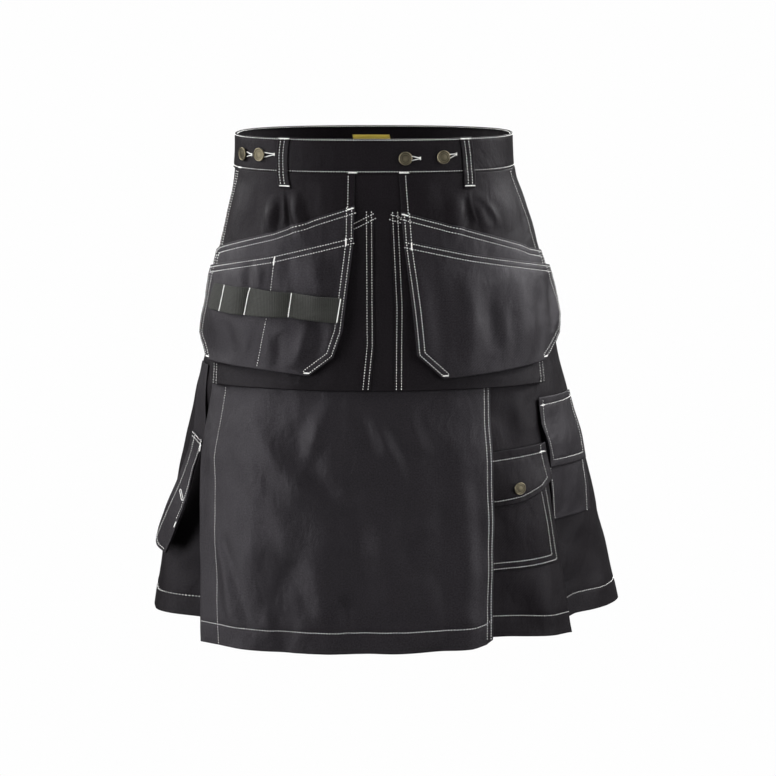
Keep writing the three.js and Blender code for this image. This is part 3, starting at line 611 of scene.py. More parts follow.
def twill_material(name, dark, light, gloss):
    """Heavy poly-cotton twill, dyed black: a fine diagonal rib, a soft broad sheen, and a faint
    crumple from handling. The real rib is 0.6 mm from line to line, too fine to show at this
    distance, so it is drawn at 1.5 mm."""
    material, tree = new_material(name)
    cut = pattern_place(tree)
    turned = add(tree, "ShaderNodeMapping", {"Vector": cut, "Rotation": (0, 0, TWILL_TURN)})
    rib = add(tree, "ShaderNodeTexWave", {
        "Vector": turned.outputs["Vector"], "Scale": WAVE / TWILL_RIB, "Distortion": 0.6,
        "Detail": 1.0, "Detail Scale": 0.8})
    thin = add(tree, "ShaderNodeMapping", {"Vector": cut, "Scale": (1.1, 0.16, 1)})
    warp = add(tree, "ShaderNodeTexNoise", {
        "Vector": thin.outputs["Vector"], "Scale": 1.0, "Detail": 2.0})
    broad = add(tree, "ShaderNodeTexNoise", {
        "Vector": cut, "Scale": 0.03, "Detail": 4.0, "Roughness": 0.6})
    tone = add(tree, "ShaderNodeMath", {0: broad.outputs["Fac"], 1: 0.6}, operation="MULTIPLY")
    tone = add(tree, "ShaderNodeMath", {0: warp.outputs["Fac"], 1: 0.5, 2: tone.outputs[0]},
               operation="MULTIPLY_ADD")
    long = add(tree, "ShaderNodeMapping", {
        "Vector": cut, "Rotation": (0, 0, CRUMPLE_TURN), "Scale": (1, 0.6, 1)})
    crumple = add(tree, "ShaderNodeTexNoise", {
        "Vector": long.outputs["Vector"], "Scale": 0.05, "Detail": 3.0, "Roughness": 0.5,
        "Distortion": 0.3})
    handled = add(tree, "ShaderNodeBump", {
        "Height": crumple.outputs["Fac"], "Strength": 0.8, "Distance": 0.002})
    height = add(tree, "ShaderNodeMath", {0: rib.outputs["Fac"], 1: warp.outputs["Fac"]},
                 operation="ADD")
    bump = add(tree, "ShaderNodeBump", {
        "Height": height.outputs[0], "Strength": 0.3, "Distance": 0.0003,
        "Normal": handled.outputs["Normal"]})
    rough = add(tree, "ShaderNodeMapRange", {
        "Value": broad.outputs["Fac"], "To Min": 0.47, "To Max": 0.6})
    grain = add(tree, "ShaderNodeTexNoise", {
        "Vector": cut, "Scale": 0.55, "Detail": 2.0, "Roughness": 0.7})
    shine = add(tree, "ShaderNodeMapRange", {
        "Value": grain.outputs["Fac"], "From Min": 0.3, "From Max": 0.7,
        "To Min": gloss * 0.6, "To Max": gloss * 1.4})
    surface(tree, {
        "Base Color": blend(tree, tone.outputs[0], dark, light),
        "Roughness": rough.outputs["Result"],
        "Specular IOR Level": shine.outputs["Result"], "Specular Tint": to_linear("f2eef8"),
        "Sheen Weight": gloss * 0.03, "Sheen Roughness": 0.4,
        "Sheen Tint": to_linear("c8c8cc"), "Normal": bump.outputs["Normal"]})
    return material


# Two copies of one cloth, one shaded and one lit. The darker, less glossy copy is painted shade on
# the waistband, belt loops, yoke, front pockets, nail pocket backings, cargo pocket, back and under
# layer. The lighter, glossier copy is painted light on the apron, the nail pocket plies, and the
# phone and rule pockets.
twill_shaded_copy = twill_material("black_poly_cotton_twill", "050405", "110e10", 0.1)
twill_lit_copy = twill_material("black_twill_lit_copy", "070607", "171417", 0.2)

# White topstitching thread: spun polyester, slightly glossy, with a faint fuzz.
thread_white, tree = new_material("white_spun_polyester_thread")
ply = add(tree, "ShaderNodeTexNoise", {"Scale": 900.0, "Detail": 2.0})
bump = add(tree, "ShaderNodeBump", {
    "Height": ply.outputs["Fac"], "Strength": 0.3, "Distance": 0.0001})
surface(tree, {
    "Base Color": blend(tree, ply.outputs["Fac"], "d6d6d3", "f4f4f2"), "Roughness": 0.5,
    "Sheen Weight": 0.2, "Normal": bump.outputs["Normal"]})

SEAM_RIGHT_FRONT = (-62, -56)  # turns of each seam at the waist and at the hem, in degrees
SEAM_LEFT_FRONT = (26, 26)
SEAM_RIGHT_BACK = (-106, -104)
SEAM_LEFT_BACK = (106, 104)
TWO_ROWS = (2.2, 8)  # how far inside an edge or a seam its rows of stitches run
HEM_RISES_FROM = 450
UNDER_STEP = 6


def seam_across(seam, drop, side=0.0):
    return across_at(mix(*seam, drop / HEM), drop) + side * GAP / 2


def hem_rise(across):
    return np.interp(across, HEM_RISE[:, 0], HEM_RISE[:, 1])


def raised(across, drop):
    """A drop, less what the hem's rise takes off it."""
    return drop - hem_rise(across) * smooth((drop - HEM_RISES_FROM) / (HEM - HEM_RISES_FROM))


def under_grid(guides, columns):
    """A panel between two seams; guides are lines that the columns of its mesh follow."""
    shares = spread(SKIRT_LENGTH, int(SKIRT_LENGTH / UNDER_STEP), HEM_BORDER)
    drops = SKIRT_TOP + shares * SKIRT_LENGTH
    rows = []
    for drop in drops:
        places = [float(guide(drop)) for guide in guides]
        row = [np.array(places[:1])]
        row += [np.linspace(a, b, n + 1)[1:] for a, b, n in zip(places, places[1:], columns)]
        rows.append(np.concatenate(row))
    across = np.array(rows)
    return across, raised(across, drops[:, None])


def hem_line(across_from, across_to):
    places = np.linspace(across_from, across_to, 60)
    return list(zip(places, HEM - hem_rise(places) - HEM_DEPTH))


def seam_rows(seam, side):
    """The two rows of stitches beside a seam, on the panel at one side of it."""
    drops = np.linspace(SKIRT_TOP + 1, HEM - 1, 30)
    places = [(float(seam_across(seam, d)), d) for d in drops]
    return [[(a + side * away, raised(a, d)) for a, d in places] for away in TWO_ROWS]


UNDER_CREASES = creases([
    (-392, 330, -402, 560, 10, 16, -3.3),
    (-352, 300, -368, 470, -6, 12, 2.4),
    (150, 310, 166, 385, 8, 12, -2.4),
    (180, 300, 192, 350, -4, 8, 1.8),
    (150, 520, 190, 585, 6, 14, -2.2),
    (205, 500, 222, 575, -8, 14, 2.4),
    (300, 480, 330, 560, 12, 18, -3.6),
    (345, 330, 352, 520, 8, 14, 2.7),
    (400, 290, 416, 480, -10, 18, -3),
    (30, 330, -40, 520, 12, 26, -2.1),
])
SIDE_PLEAT = UNDER_FOLDS[2]
UNDER_PANELS = [  # name, node, guides, columns, rows beside its seams
    ("under_apron_cloth", "under_apron",
     [lambda d: seam_across(SEAM_RIGHT_FRONT, d, 1), lambda d: seam_across(SEAM_LEFT_FRONT, d, -1)],
     [60], []),
    ("side_panel_right_cloth", "side_panel_right",
     [lambda d: seam_across(SEAM_RIGHT_BACK, d, 1), lambda d: seam_across(SEAM_RIGHT_FRONT, d, -1)],
     [60], seam_rows(SEAM_RIGHT_BACK, 1)),
    ("side_panel_left_cloth", "side_panel_left",
     [lambda d: seam_across(SEAM_LEFT_FRONT, d, 1),
      lambda d: crease_at(SIDE_PLEAT, d) - SIDE_PLEAT[5], lambda d: crease_at(SIDE_PLEAT, d),
      lambda d: seam_across(SEAM_LEFT_BACK, d, -1)],
     [26, 8, 46], seam_rows(SEAM_LEFT_BACK, -1)),
]
for name, node, guides, columns, seams in UNDER_PANELS:
    across, drop = under_grid(guides, columns)
    hem = [hem_line(across[-1, 0] + 1, across[-1, -1] - 1)]
    place = laid(lambda a, d: -CLOTH + 0 * a, UNDER_FOLDS,
                 [UNDER_CREASES, stitch_relief(hem + seams), worn(3, 1.1)])
    piece = shell(name, across, drop, place, twill_shaded_copy)
    thread = sew(name.replace("cloth", "thread"), place, CLOTH, hem + seams)
    finish_cloth(piece, node)

# Back: three lengths of the same twill, joined inside their folds. A box pleat hangs in the
# middle and two knife pleats on each side, pressed, and edge-stitched down to the hip.
OUTER_FOLD = [(1, 0.08, 0.98), (1, 0, 0.76), (1, 0.08, 0.54)]  # out, under, lift, as shares
RETURN = [(1, 0.5, 0.52), (1, 0.92, 0.5)]
INNER_FOLD = [(1, 1, 0.26), (1, 0.92, 0.02)]
KNIFE_FACE = [(0.1, 0, 0.12), (0.4, 0, 0.4), (0.7, 0, 0.7)]
BOX_FACE = [(0.3, 0, 1), (0.65, 0, 1)]
LAST_FACE = [(out, 0, 0.08) for out in (0.1, 0.4, 0.7, 1)]
KNIFE_PLEATS = 2
BOX_SHARE = 0.3
PLEAT_LIFT = (3.7, 13)  # at the waist and at the hem
UNDERCUT = (20, 26)
PLEATS_OPEN_FROM = 150
EDGE_STITCH = 2.4
PLEAT_SAMPLES = 200


def pleat_path(reach, drop, part):
    """Half of the back's cloth at a drop, from the middle out, as distances and lifts, and the
    places in it where a pleat's face ends at its outer fold."""
    opened = float(smooth((drop - PLEATS_OPEN_FROM) / (HEM - PLEATS_OPEN_FROM)))
    lift, under = mix(*PLEAT_LIFT, opened), mix(*UNDERCUT, opened)
    box = reach * BOX_SHARE

    def rows(table, start, width):
        return [(start + out * width - back * under, high * lift) for out, back, high in table]
    if part == "middle":
        return rows(BOX_FACE + OUTER_FOLD + RETURN, 0, box), [len(BOX_FACE)]
    joint = box - RETURN[1][1] * under
    start = joint - GAP - CLOTH / 2  # inside the box pleat's fold
    path = [(start, 0.45 * lift), (start, 0.26 * lift), (joint, 0.02 * lift)]
    width = (reach - box) / (KNIFE_PLEATS + 1)
    edges = []
    for pleat in range(KNIFE_PLEATS):
        edges.append(len(path) + len(KNIFE_FACE))
        path += rows(KNIFE_FACE + OUTER_FOLD + RETURN + INNER_FOLD, box + pleat * width, width)
    return path + rows(LAST_FACE, box + KNIFE_PLEATS * width, width), edges


def rounded(path):
    """A path with its corners cut twice, as the cloth bends round them."""
    for _ in range(2):
        a, b = path[:-1], path[1:]
        cut = np.stack([a * 0.75 + b * 0.25, a * 0.25 + b * 0.75], 1).reshape(-1, 2)
        path = np.concatenate([path[:1], cut[1:-1], path[-1:]])
    return path


def back_line(part, side, drop):
    """The middle of the cloth's thickness across one length of the back, in plan, with its
    length, and the shares of it where the edge stitching runs."""
    def half(sign):
        middle = float(across_at(sign * 180, drop))
        seam = SEAM_RIGHT_BACK if sign < 0 else SEAM_LEFT_BACK
        path, edges = pleat_path(abs(middle - float(seam_across(seam, drop, sign))), drop, part)
        path = rounded(np.array(path))
        drops = np.full(len(path), drop)
        turn = turn_at(middle - sign * path[:, 0], drops)
        edges = [(4 * edge, -EDGE_STITCH) for edge in edges]  # rounding made four places of each
        return np.stack(plan_point(turn, drops, path[:, 1] - CLOTH / 2), -1), edges
    line, edges = half(side or 1)
    if part == "middle":
        other, edges_of_other = half(-1)
        edges = [(len(other) + i, away) for i, away in edges]
        edges += [(len(other) - 1 - i, -away) for i, away in edges_of_other]
        line = np.concatenate([other[::-1], line])
    steps = np.concatenate([[0], np.cumsum(np.hypot(*np.diff(line, axis=0).T))])
    even = np.linspace(0, steps[-1], PLEAT_SAMPLES)
    even_line = np.stack([np.interp(even, steps, line[:, k]) for k in (0, 1)], -1)
    return even_line, steps[-1], [(steps[i] + away) / steps[-1] for i, away in edges]


BACK_ROWS = SKIRT_TOP + spread(SKIRT_LENGTH, 84, HEM_BORDER) * SKIRT_LENGTH


def back_length(name, node, part, side, creases_by_hand, seed):
    """Cuts, pleats, hems and edge-stitches one length of the back."""
    lines, lengths, edges = zip(*[back_line(part, side, drop) for drop in BACK_ROWS])
    lines, cut = np.array(lines), max(lengths)
    relief_by_hand, uneven = creases(creases_by_hand), worn(seed, 0.9)
    along = np.gradient(lines, axis=1)
    along /= np.linalg.norm(along, axis=-1, keepdims=True)
    normal = np.stack([-along[..., 1], along[..., 0]], -1)
    hem = [(s, HEM - HEM_DEPTH) for s in np.linspace(1, cut - 1, 80)]
    centre = PLEAT_SAMPLES // 2
    outward = 1 if (lines[0, centre] * normal[0, centre]).sum() > 0 else -1

    stitched = [(drop, shares) for drop, shares in zip(BACK_ROWS, edges)
                if drop < PLEATS_OPEN_FROM]
    rows = [hem]
    for k in range(len(edges[0])):
        rows.append([(shares[k] * cut, drop) for drop, shares in stitched])
    tacks = [(a - 1, d, a + 1, d + 8) for a, d in (row[-1] for row in rows[1:])]
    groove = stitch_relief(rows)

    def place(s, drop, height):
        s, drop = np.asarray(s, float), np.asarray(drop, float)
        rows_to = len(BACK_ROWS) - 1.001
        u = np.clip(s / cut * (PLEAT_SAMPLES - 1), 0, PLEAT_SAMPLES - 1.001)
        v = np.clip(np.interp(drop, BACK_ROWS, np.arange(len(BACK_ROWS))), 0, rows_to)
        i, j = v.astype(int), u.astype(int)
        fi, fj = (v - i)[..., None], (u - j)[..., None]

        def read(grid):
            upper = mix(grid[i, j], grid[i, j + 1], fj)
            return mix(upper, mix(grid[i + 1, j], grid[i + 1, j + 1], fj), fi)
        relief = relief_by_hand(s, drop) + uneven(s, drop) + groove(s, drop)
        out = outward * (height - CLOTH / 2 + relief)
        spot = read(lines) + read(normal) * out[..., None]
        return np.concatenate([spot, (BAND_HEIGHT / 2 - drop)[..., None]], -1)
    across, drop = np.meshgrid(np.linspace(0, cut, PLEAT_SAMPLES), BACK_ROWS)
    piece = shell(name, across, drop, place, twill_shaded_copy)
    thread = sew(name.replace("cloth", "thread"), place, CLOTH, rows, tacks)
    finish_cloth(piece, node)


back_length("back_middle_cloth", "back_middle", "middle", 0, [
    (60, 200, 54, 480, 8, 14, -1.4), (112, 260, 118, 540, -6, 12, 1.2),
    (150, 180, 156, 400, 5, 10, -1.1)], 11)
back_length("back_right_cloth", "back_right", "side", -1, [
    (60, 240, 66, 520, 6, 12, -1.2), (180, 200, 190, 470, -8, 14, 1.3),
    (320, 160, 330, 500, 10, 18, -1.6)], 12)
back_length("back_left_cloth", "back_left", "side", 1, [
    (70, 220, 62, 500, -6, 12, -1.2), (196, 240, 188, 540, 8, 13, 1.3),
    (330, 200, 318, 520, -9, 16, -1.5)], 13)


# Front yoke: one piece of twill from the waistband to below the hips, over the under layer and
# then over the apron's upper edge. Its sides are double-stitched, and its lower edge is a plain
# turned fold.
def cloth_piece(name, node, pattern, stand, folds=(), step=4.0, rows=(), tacks=(), by_hand=(),
                seed=1, uneven=0.4, hem=BORDER,
                material=twill_shaded_copy, turned_in=0):
    """Cuts one piece, lays it on what carries it and sews it."""
    place = laid(stand, folds, [creases(by_hand), stitch_relief(rows), worn(seed, uneven)])
    across, drop = pattern_grid(**pattern, step=step, hem=hem)
    piece = shell(name, across, drop, place, material, turned_in=turned_in)
    if rows or tacks:
        sew(name.replace("cloth", "thread"), place, CLOTH, rows, tacks)
    finish_cloth(piece, node)


def beside(edge, *distances, side=1):
    """Rows of stitches inside an edge that runs down or to the wearer's left. side is -1 where
    the cloth lies to the edge's left."""
    return [inset(edge, side * distance) for distance in distances]


def yoke_stand(across, drop):
    over_apron = mix(REST, REST + PLY, smooth((drop - 165) / 50))
    return mix(over_apron, 5, smooth((drop - 230) / 57))


YOKE = dict(
    top=[(-190, SKIRT_TOP), (190, SKIRT_TOP)],
    bottom=[(-214, 293), (-121, 288), (-14, YOKE_LENGTH), (97, YOKE_LENGTH), (221, 290)],
    right=[(-190, SKIRT_TOP), (-210, 133), (-219, 200), (-214, 293)],
    left=[(190, SKIRT_TOP), (212, 133), (220, 200), (221, 290)])
cloth_piece("front_yoke_cloth", "front_yoke", YOKE, yoke_stand, step=4.5, seed=21,
            rows=beside(YOKE["right"], *TWO_ROWS, side=-1) + beside(YOKE["left"], *TWO_ROWS),
            by_hand=[(-20, 66, 30, 74, -2, 5, -1.2), (-20, 100, -16, 250, 3, 16, -0.9),
                     (8, 120, 12, 260, -2, 10, 0.7), (-200, 284, -60, 280, 4, 7, 0.8)])

# Front pockets: patch pockets of twill sewn to the yoke, double-stitched beside the front, each
# with a slanting mouth that runs up under the nail pocket.
FRONT_POCKETS = [
    ("front_pocket_right", dict(
        top=[(-190, 160), (-23, 94), (-1, 83)], bottom=[(-200, 291), (-121, 287.5), (-5, 286.5)],
        right=[(-190, 160), (-200, 291)], left=[(-1, 83), (0, 236), (-5, 286.5)]),
     "left", 1),
    ("front_pocket_left", dict(
        top=[(19, 84), (36, 89), (190, 160)], bottom=[(23, 286.5), (97, 286.5), (200, 289)],
        right=[(19, 84), (24, 191), (23, 286.5)], left=[(190, 160), (200, 289)]),
     "right", -1),
]
for name, pattern, free_edge, side in FRONT_POCKETS:
    rows = [clipped(row, row[0][1] - 1, 286)
            for row in beside(pattern[free_edge], *TWO_ROWS, side=side)]
    rows += beside(pattern["top"], *TWO_ROWS)
    cloth_piece(name + "_cloth", name, pattern, lambda a, d: yoke_stand(a, d) + PLY - 0.2, step=4.5,
                rows=rows, seed=22,
                by_hand=[(-150, 276, -40, 282, -2, 4, 0.7), (60, 276, 170, 280, 2, 4, 0.7)])


# Apron: a single flap of twill that hangs from under the yoke over the under layer, turned and
# stitched at both sides and hemmed. Its left side rides up over the cargo pocket.
def apron_stand(across, drop):
    over_pocket = smooth((across - 80) / 40) * smooth((drop - 320) / 40) * smooth((540 - drop) / 60)
    return mix(REST, 5, smooth((drop - YOKE_LENGTH) / 100)) + 4 * over_pocket


APRON_FOLDS = [
    (-168, -150, 330, 560, None, 46, 52, 6), (-52, -64, 300, 540, None, 54, 50, 4),
    (52, 30, 320, 560, None, 44, 50, 5), (112, 104, 340, 560, None, 30, 30, 6)]
APRON_CREASES = [
    (-58, 300, -84, 375, 4, 9, 3.5), (0, 316, 28, 372, -3, 7, 3.2),
    (-26, 302, -4, 366, 4, 8, -3.2), (40, 302, 62, 366, -4, 8, 2.6),
    (20, 330, 46, 392, 3, 7, -2.1), (-95, 325, -28, 422, -10, 13, -5.2),
    (-158, 312, -56, 428, -8, 14, 5.2), (-180, 352, -92, 490, 10, 14, 3.2),
    (-37, 410, -14, 505, 5, 14, -3.6), (-112, 474, -62, 582, 8, 11, -2.6),
    (-68, 466, -36, 576, -6, 12, 2.6), (-33, 520, -32, 590, 2, 5, -2.6),
    (-2, 400, 12, 535, 6, 15, 2.9), (48, 380, 40, 505, -6, 12, -2.9),
    (84, 322, 98, 468, 6, 12, 2.9), (116, 380, 114, 570, 4, 8, -2.6),
    (-202, 448, -170, 572, 6, 8, 2.4), (-188, 460, -148, 588, 8, 8, -2.6),
    (60, 500, 74, 588, 4, 11, 1.8), (24, 540, 30, 590, -2, 6, -2.1),
    (-130, 540, -118, 592, 3, 7, 2.1), (-214, 300, -212, 420, 3, 7, 1.3),
    (70, 420, 20, 470, 5, 9, 1.9)]
APRON_TOP = 226
APRON = dict(
    top=[(-214, APRON_TOP), (139, APRON_TOP)],
    bottom=[(-218, 594), (-150, 592), (-5, 589), (113, 587), (131, 584), (139, 579)],
    right=[(-214, APRON_TOP), (-222, 300), (-228, 345), (-231, 375), (-228, 433), (-222, 507),
           (-218, 594)],
    left=[(139, APRON_TOP), (138, 355), (139, 445), (139, 579)])
APRON_HEM_ROW = [(-217.5, 570), (-150, 568), (-5, 565), (113, 563), (131, 560), (138.5, 555)]
APRON_RIGHT_ROW = 28  # how far inside the edge its one row of stitches runs
cloth_piece("front_apron_cloth", "front_apron", APRON, apron_stand, APRON_FOLDS, step=4.5,
            seed=23, uneven=1.4, hem=HEM_BORDER,
            turned_in=0.5, material=twill_lit_copy, by_hand=APRON_CREASES,
            rows=beside([(-221, 291)] + APRON["right"][1:], APRON_RIGHT_ROW, side=-1)
            + beside(APRON["left"], 2.2, 7.4) + [APRON_HEM_ROW])


# Nail pockets: two free-hanging pockets of twill, sewn into the waistband seam. Each has a
# backing and two pocket plies, double-stitched at the mouths, sides and slanted corners; the
# bottom is a fold. A dart under the belt loop makes each one stand out.
DART_FOLDS = [
    (-116, -122, 60, 88, 118, 13, 9, 3.4), (-92, -84, 60, 90, 124, 12, 16, 2.6),
    (124, 134, 60, 92, 118, 10, 14, 3.4), (98, 92, 60, 92, 124, 16, 12, 2.6)]


def nail_stand(across, drop):
    return mix(mix(REST + PLY, 4.8, smooth((drop - 45) / 45)), 8.2, smooth((drop - 100) / 150))


def pocket_stand(ply):
    def stand(across, drop):
        slack = 1.5 * smooth((drop - 120) / 50) * smooth((262 - drop) / 50)
        return nail_stand(across, drop) + ply * (PLY + 0.8 + slack)
    return stand


NAIL_POCKETS = {
    "right": dict(
        backing=dict(
            top=[(-190, SKIRT_TOP), (-23, SKIRT_TOP)],
            bottom=[(-239, 236), (-218, 264), (-135, 265), (-74, 270), (-46, 248)],
            right=[(-190, SKIRT_TOP), (-214, 135), (-223, 198), (-239, 236)],
            left=[(-23, SKIRT_TOP), (-24, 118), (-36, 219), (-46, 248)]),
        mouths=[[(-216, 137), (-205, 131), (-119, 109), (-63, 89), (-23, 76)],
                [(-218, 155), (-120, 135), (-24, 110)]],
        outer_rows=(2.2, 7.4), inner_rows=(7,)),
    "left": dict(
        backing=dict(
            top=[(29, SKIRT_TOP), (190, SKIRT_TOP)],
            bottom=[(49, 246), (78, 273), (183, 265), (214, 262), (247, 236)],
            right=[(29, SKIRT_TOP), (35, 125), (44, 196), (49, 246)],
            left=[(190, SKIRT_TOP), (226, 138), (247, 190), (251, 214), (247, 236)]),
        mouths=[[(31, 83), (108, 104), (180, 125), (196, 131), (225, 137)],
                [(35, 115), (110, 132), (233, 155)]],
        outer_rows=(9,), inner_rows=(7,)),
}
DIVIDER = [(-114, 135), (-117, 171), (-122, 207), (-135, 263)]
POCKET_CREASES = {
    "right": [
        (-200, 165, -204, 250, 3, 12, 2), (-172, 215, -178, 262, 2, 8, -1.7),
        (-137, 142, -133, 174, 2, 5, 2.7), (-146, 146, -143, 178, -2, 5, -2),
        (-160, 150, -158, 200, 3, 9, 1.7), (-78, 128, -56, 190, 4, 14, 3.7),
        (-102, 120, -96, 172, 3, 8, -1.7), (-42, 130, -48, 200, 2, 8, -2.5),
        (-74, 208, -92, 262, 3, 8, 3.7), (-60, 200, -68, 262, 3, 10, -3.7),
        (-108, 222, -112, 266, 2, 7, -2.5), (-150, 214, -156, 262, 2, 9, 1.5)],
    "left": [
        (104, 145, 107, 270, 4, 13, 4.4), (134, 168, 137, 246, -3, 9, -3.4),
        (166, 150, 176, 268, 5, 16, 4.1), (222, 160, 227, 232, 2, 7, -3.4),
        (66, 156, 76, 262, 3, 10, -3.1), (196, 176, 202, 256, 3, 8, -1.7),
        (148, 190, 152, 266, 2, 6, 1.5), (240, 190, 240, 236, 1, 5, 1.7)],
}
TOP_CREASES = {  # above the mouths, with the crumple under each belt loop
    "right": [
        (-107, 58, -105, 97, 1, 1.3, 1.5), (-113, 70, -117, 106, 2, 4.5, -2.2),
        (-100, 68, -94, 104, -2, 4.5, -2.6), (-122, 80, -134, 118, 3, 6, 2),
        (-91, 60, -80, 108, -3, 6, 3.1), (-110, 98, -101, 98, 2, 2, 1.4),
        (-170, 56, -184, 122, 4, 14, 1.7), (-60, 46, -54, 98, 3, 15, 1.7),
        (-140, 56, -150, 116, 3, 10, -1.3)],
    "left": [
        (112, 58, 122, 98, -4, 1.3, 1.5), (106, 68, 110, 104, 2, 5, -3.1),
        (121, 70, 133, 100, 3, 4.5, -2.5), (128, 76, 148, 106, 4, 6, 2.5),
        (186, 52, 205, 122, 4, 2, 1.3), (178, 56, 197, 122, 4, 6, -1.5),
        (92, 56, 84, 98, 3, 12, 1.7), (60, 50, 56, 86, 2, 14, 1.3),
        (150, 60, 164, 112, 3, 12, 1.3)],
}
for side, pocket in NAIL_POCKETS.items():
    backing, mouths = pocket["backing"], pocket["mouths"]
    name = f"nail_pocket_{side}"
    sign = 1 if side == "right" else -1  # on the left pocket, inner is the wearer's right edge
    inner, outer = ("left", "right") if side == "right" else ("right", "left")
    corner = {inner: backing["bottom"][-2 if side == "right" else 1],
              outer: backing["bottom"][1 if side == "right" else -2]}
    at_mouth = {0: {"right": mouths[0][0][1], "left": mouths[0][-1][1]},
                1: {"right": mouths[1][0][1], "left": mouths[1][-1][1]}}

    def edge_row(edge, distance, start, end):
        """A row inside one side and the slanted corner below it, between two drops."""
        line = inset(backing[edge] + [corner[edge]], distance * (1 if edge == "left" else -1))
        return clipped(line, start, end)
    rows = [edge_row(outer, d, SKIRT_TOP + 1, at_mouth[0][outer] + 6) for d in pocket["outer_rows"]]
    rows += [edge_row(inner, d, SKIRT_TOP + 1, at_mouth[0][inner] + 6) for d in pocket["inner_rows"]]
    cloth_piece(f"{name}_backing_cloth", f"{name}_backing", backing, nail_stand, DART_FOLDS,
                step=2.3, rows=rows, seed=31, by_hand=TOP_CREASES[side])
    for ply, mouth in enumerate(mouths):  # each ply is the backing's shape below its mouth
        pattern = dict(backing, top=mouth)
        for edge in ("right", "left"):
            start = at_mouth[ply][edge]
            pattern[edge] = clipped(backing[edge], start, backing[edge][-1][1])
        pattern["right"][0], pattern["left"][0] = mouth[0], mouth[-1]
        rows = beside(mouth, *TWO_ROWS)
        tacks = []
        for edge in (inner, outer):
            top = at_mouth[ply][edge]
            for distance in TWO_ROWS:
                end = corner[edge][1] - 4 if ply else at_mouth[1][edge] + 8
                rows.append(edge_row(edge, distance, top + 1, end))
            if ply:
                (a0, d0), (a1, d1) = rows[-2][-1], rows[-1][-1]
                tacks.append((a0, d0 + 0.5, a1, d1 + 0.5))
        if ply:
            at_inner = rows[3][0]
            tacks.append((at_inner[0], at_inner[1] + 2, at_inner[0], at_inner[1] + 10))
        else:
            a0, d0 = mouth[-1] if side == "right" else mouth[0]
            tacks.append((a0 - sign * 1, d0 + 2.5, a0 - sign * 8, d0 + 4.5))
        if ply and side == "right":
            rows.append(DIVIDER)
            tacks.append((-114, 136, -115, 145))
        node = f"{name}_{'upper' if ply else 'lower'}_pocket"
        cloth_piece(f"{node}_cloth", node, pattern, pocket_stand(ply + 1), DART_FOLDS, step=3.2,
                    rows=rows, tacks=tacks, seed=33 + ply, by_hand=POCKET_CREASES[side],
                    uneven=0.9, material=twill_lit_copy)


# Tool loops: one length of woven polypropylene webbing, ribbed along its length, across the
# right nail pocket. Bar tacks hold it down at each end of a loop, and it stands up between them.
WEB_LIFTS = [0.5, 4, 6, 5.5]
WEB_TOP = [(-198, 173), (-179, 173), (-142, 172.5), (-91.5, 175.5), (-35, 180)]
WEB_BOTTOM = [(-208, 202), (-186, 203.5), (-149, 204), (-95, 202.5), (-39.5, 207.5)]
WEB_HEIGHT = 29


def web_stand(across, drop):
    down = (drop - WEB_TOP[0][1]) / WEB_HEIGHT
    bars = [mix(top[0], bottom[0], down) for top, bottom in zip(WEB_TOP, WEB_BOTTOM)]
    lift = 0
    for a, b, high in zip(bars, bars[1:], WEB_LIFTS):
        t = np.clip((across - a) / (b - a), 0, 1)
        lift = lift + high * np.sin(math.pi * t ** 1.5) ** 0.7
    return pocket_stand(2)(across, drop) + PLY + lift


WEB_RIB = 1.9
WEB_WEFT = 1.4
WEB_TACK = 1.1
webbing_ribbed, tree = new_material("ribbed_polypropylene_webbing")
cut = pattern_place(tree)
rib = add(tree, "ShaderNodeTexWave", {
    "Vector": cut, "Scale": WAVE / WEB_RIB, "Distortion": 0.4, "Detail": 1.0},
    bands_direction="X")
weft = add(tree, "ShaderNodeTexWave", {
    "Vector": cut, "Scale": WAVE / WEB_WEFT, "Distortion": 1.0, "Detail": 1.0},
    bands_direction="Y")
fleck = add(tree, "ShaderNodeTexNoise", {"Vector": cut, "Scale": 1.1, "Detail": 2.0})
woven = add(tree, "ShaderNodeMath", {0: rib.outputs["Fac"], 1: weft.outputs["Fac"]},
            operation="MULTIPLY")
tone = add(tree, "ShaderNodeMath", {0: woven.outputs[0], 1: 0.6, 2: fleck.outputs["Fac"]},
           operation="MULTIPLY_ADD")
bump = add(tree, "ShaderNodeBump", {
    "Height": woven.outputs[0], "Strength": 0.9, "Distance": 0.0008})
surface(tree, {
    "Base Color": blend(tree, tone.outputs[0], "070706", "2b2c28"), "Roughness": 0.6,
    "Specular IOR Level": 0.2, "Sheen Weight": 0.03, "Normal": bump.outputs["Normal"]})
cloth_piece("tool_loop_webbing_cloth", "tool_loop_webbing",
            straight_sides(WEB_TOP, WEB_BOTTOM), web_stand, step=1.6, seed=41, uneven=0.2,
            by_hand=POCKET_CREASES["right"],
            material=webbing_ribbed,
            tacks=[(*top, *bottom, WEB_TACK)
                   for top, bottom in list(zip(WEB_TOP, WEB_BOTTOM))[1:4]]
            + [(-37, 180.5, -41, 207, WEB_TACK)])


# Cargo pocket: a bellows pocket of twill on the wearer's left, double-stitched round, with a
# shaped flap that is stitched along its own edge and closed by one snap.
def cargo_fullness(across):
    return smooth((across - 136) / 30) * smooth((236 - across) / 30)


def cargo_stand(across, drop):
    full = smooth((drop - 372) / 40) * smooth((500 - drop) / 50)
    return REST + 0.3 + 3 * cargo_fullness(across) * full


def cargo_flap_stand(across, drop):
    sprung = smooth((across - 136) / 40) * smooth((drop - 366) / 50)
    return cargo_stand(across, drop) + PLY + 0.5 + 2 * sprung


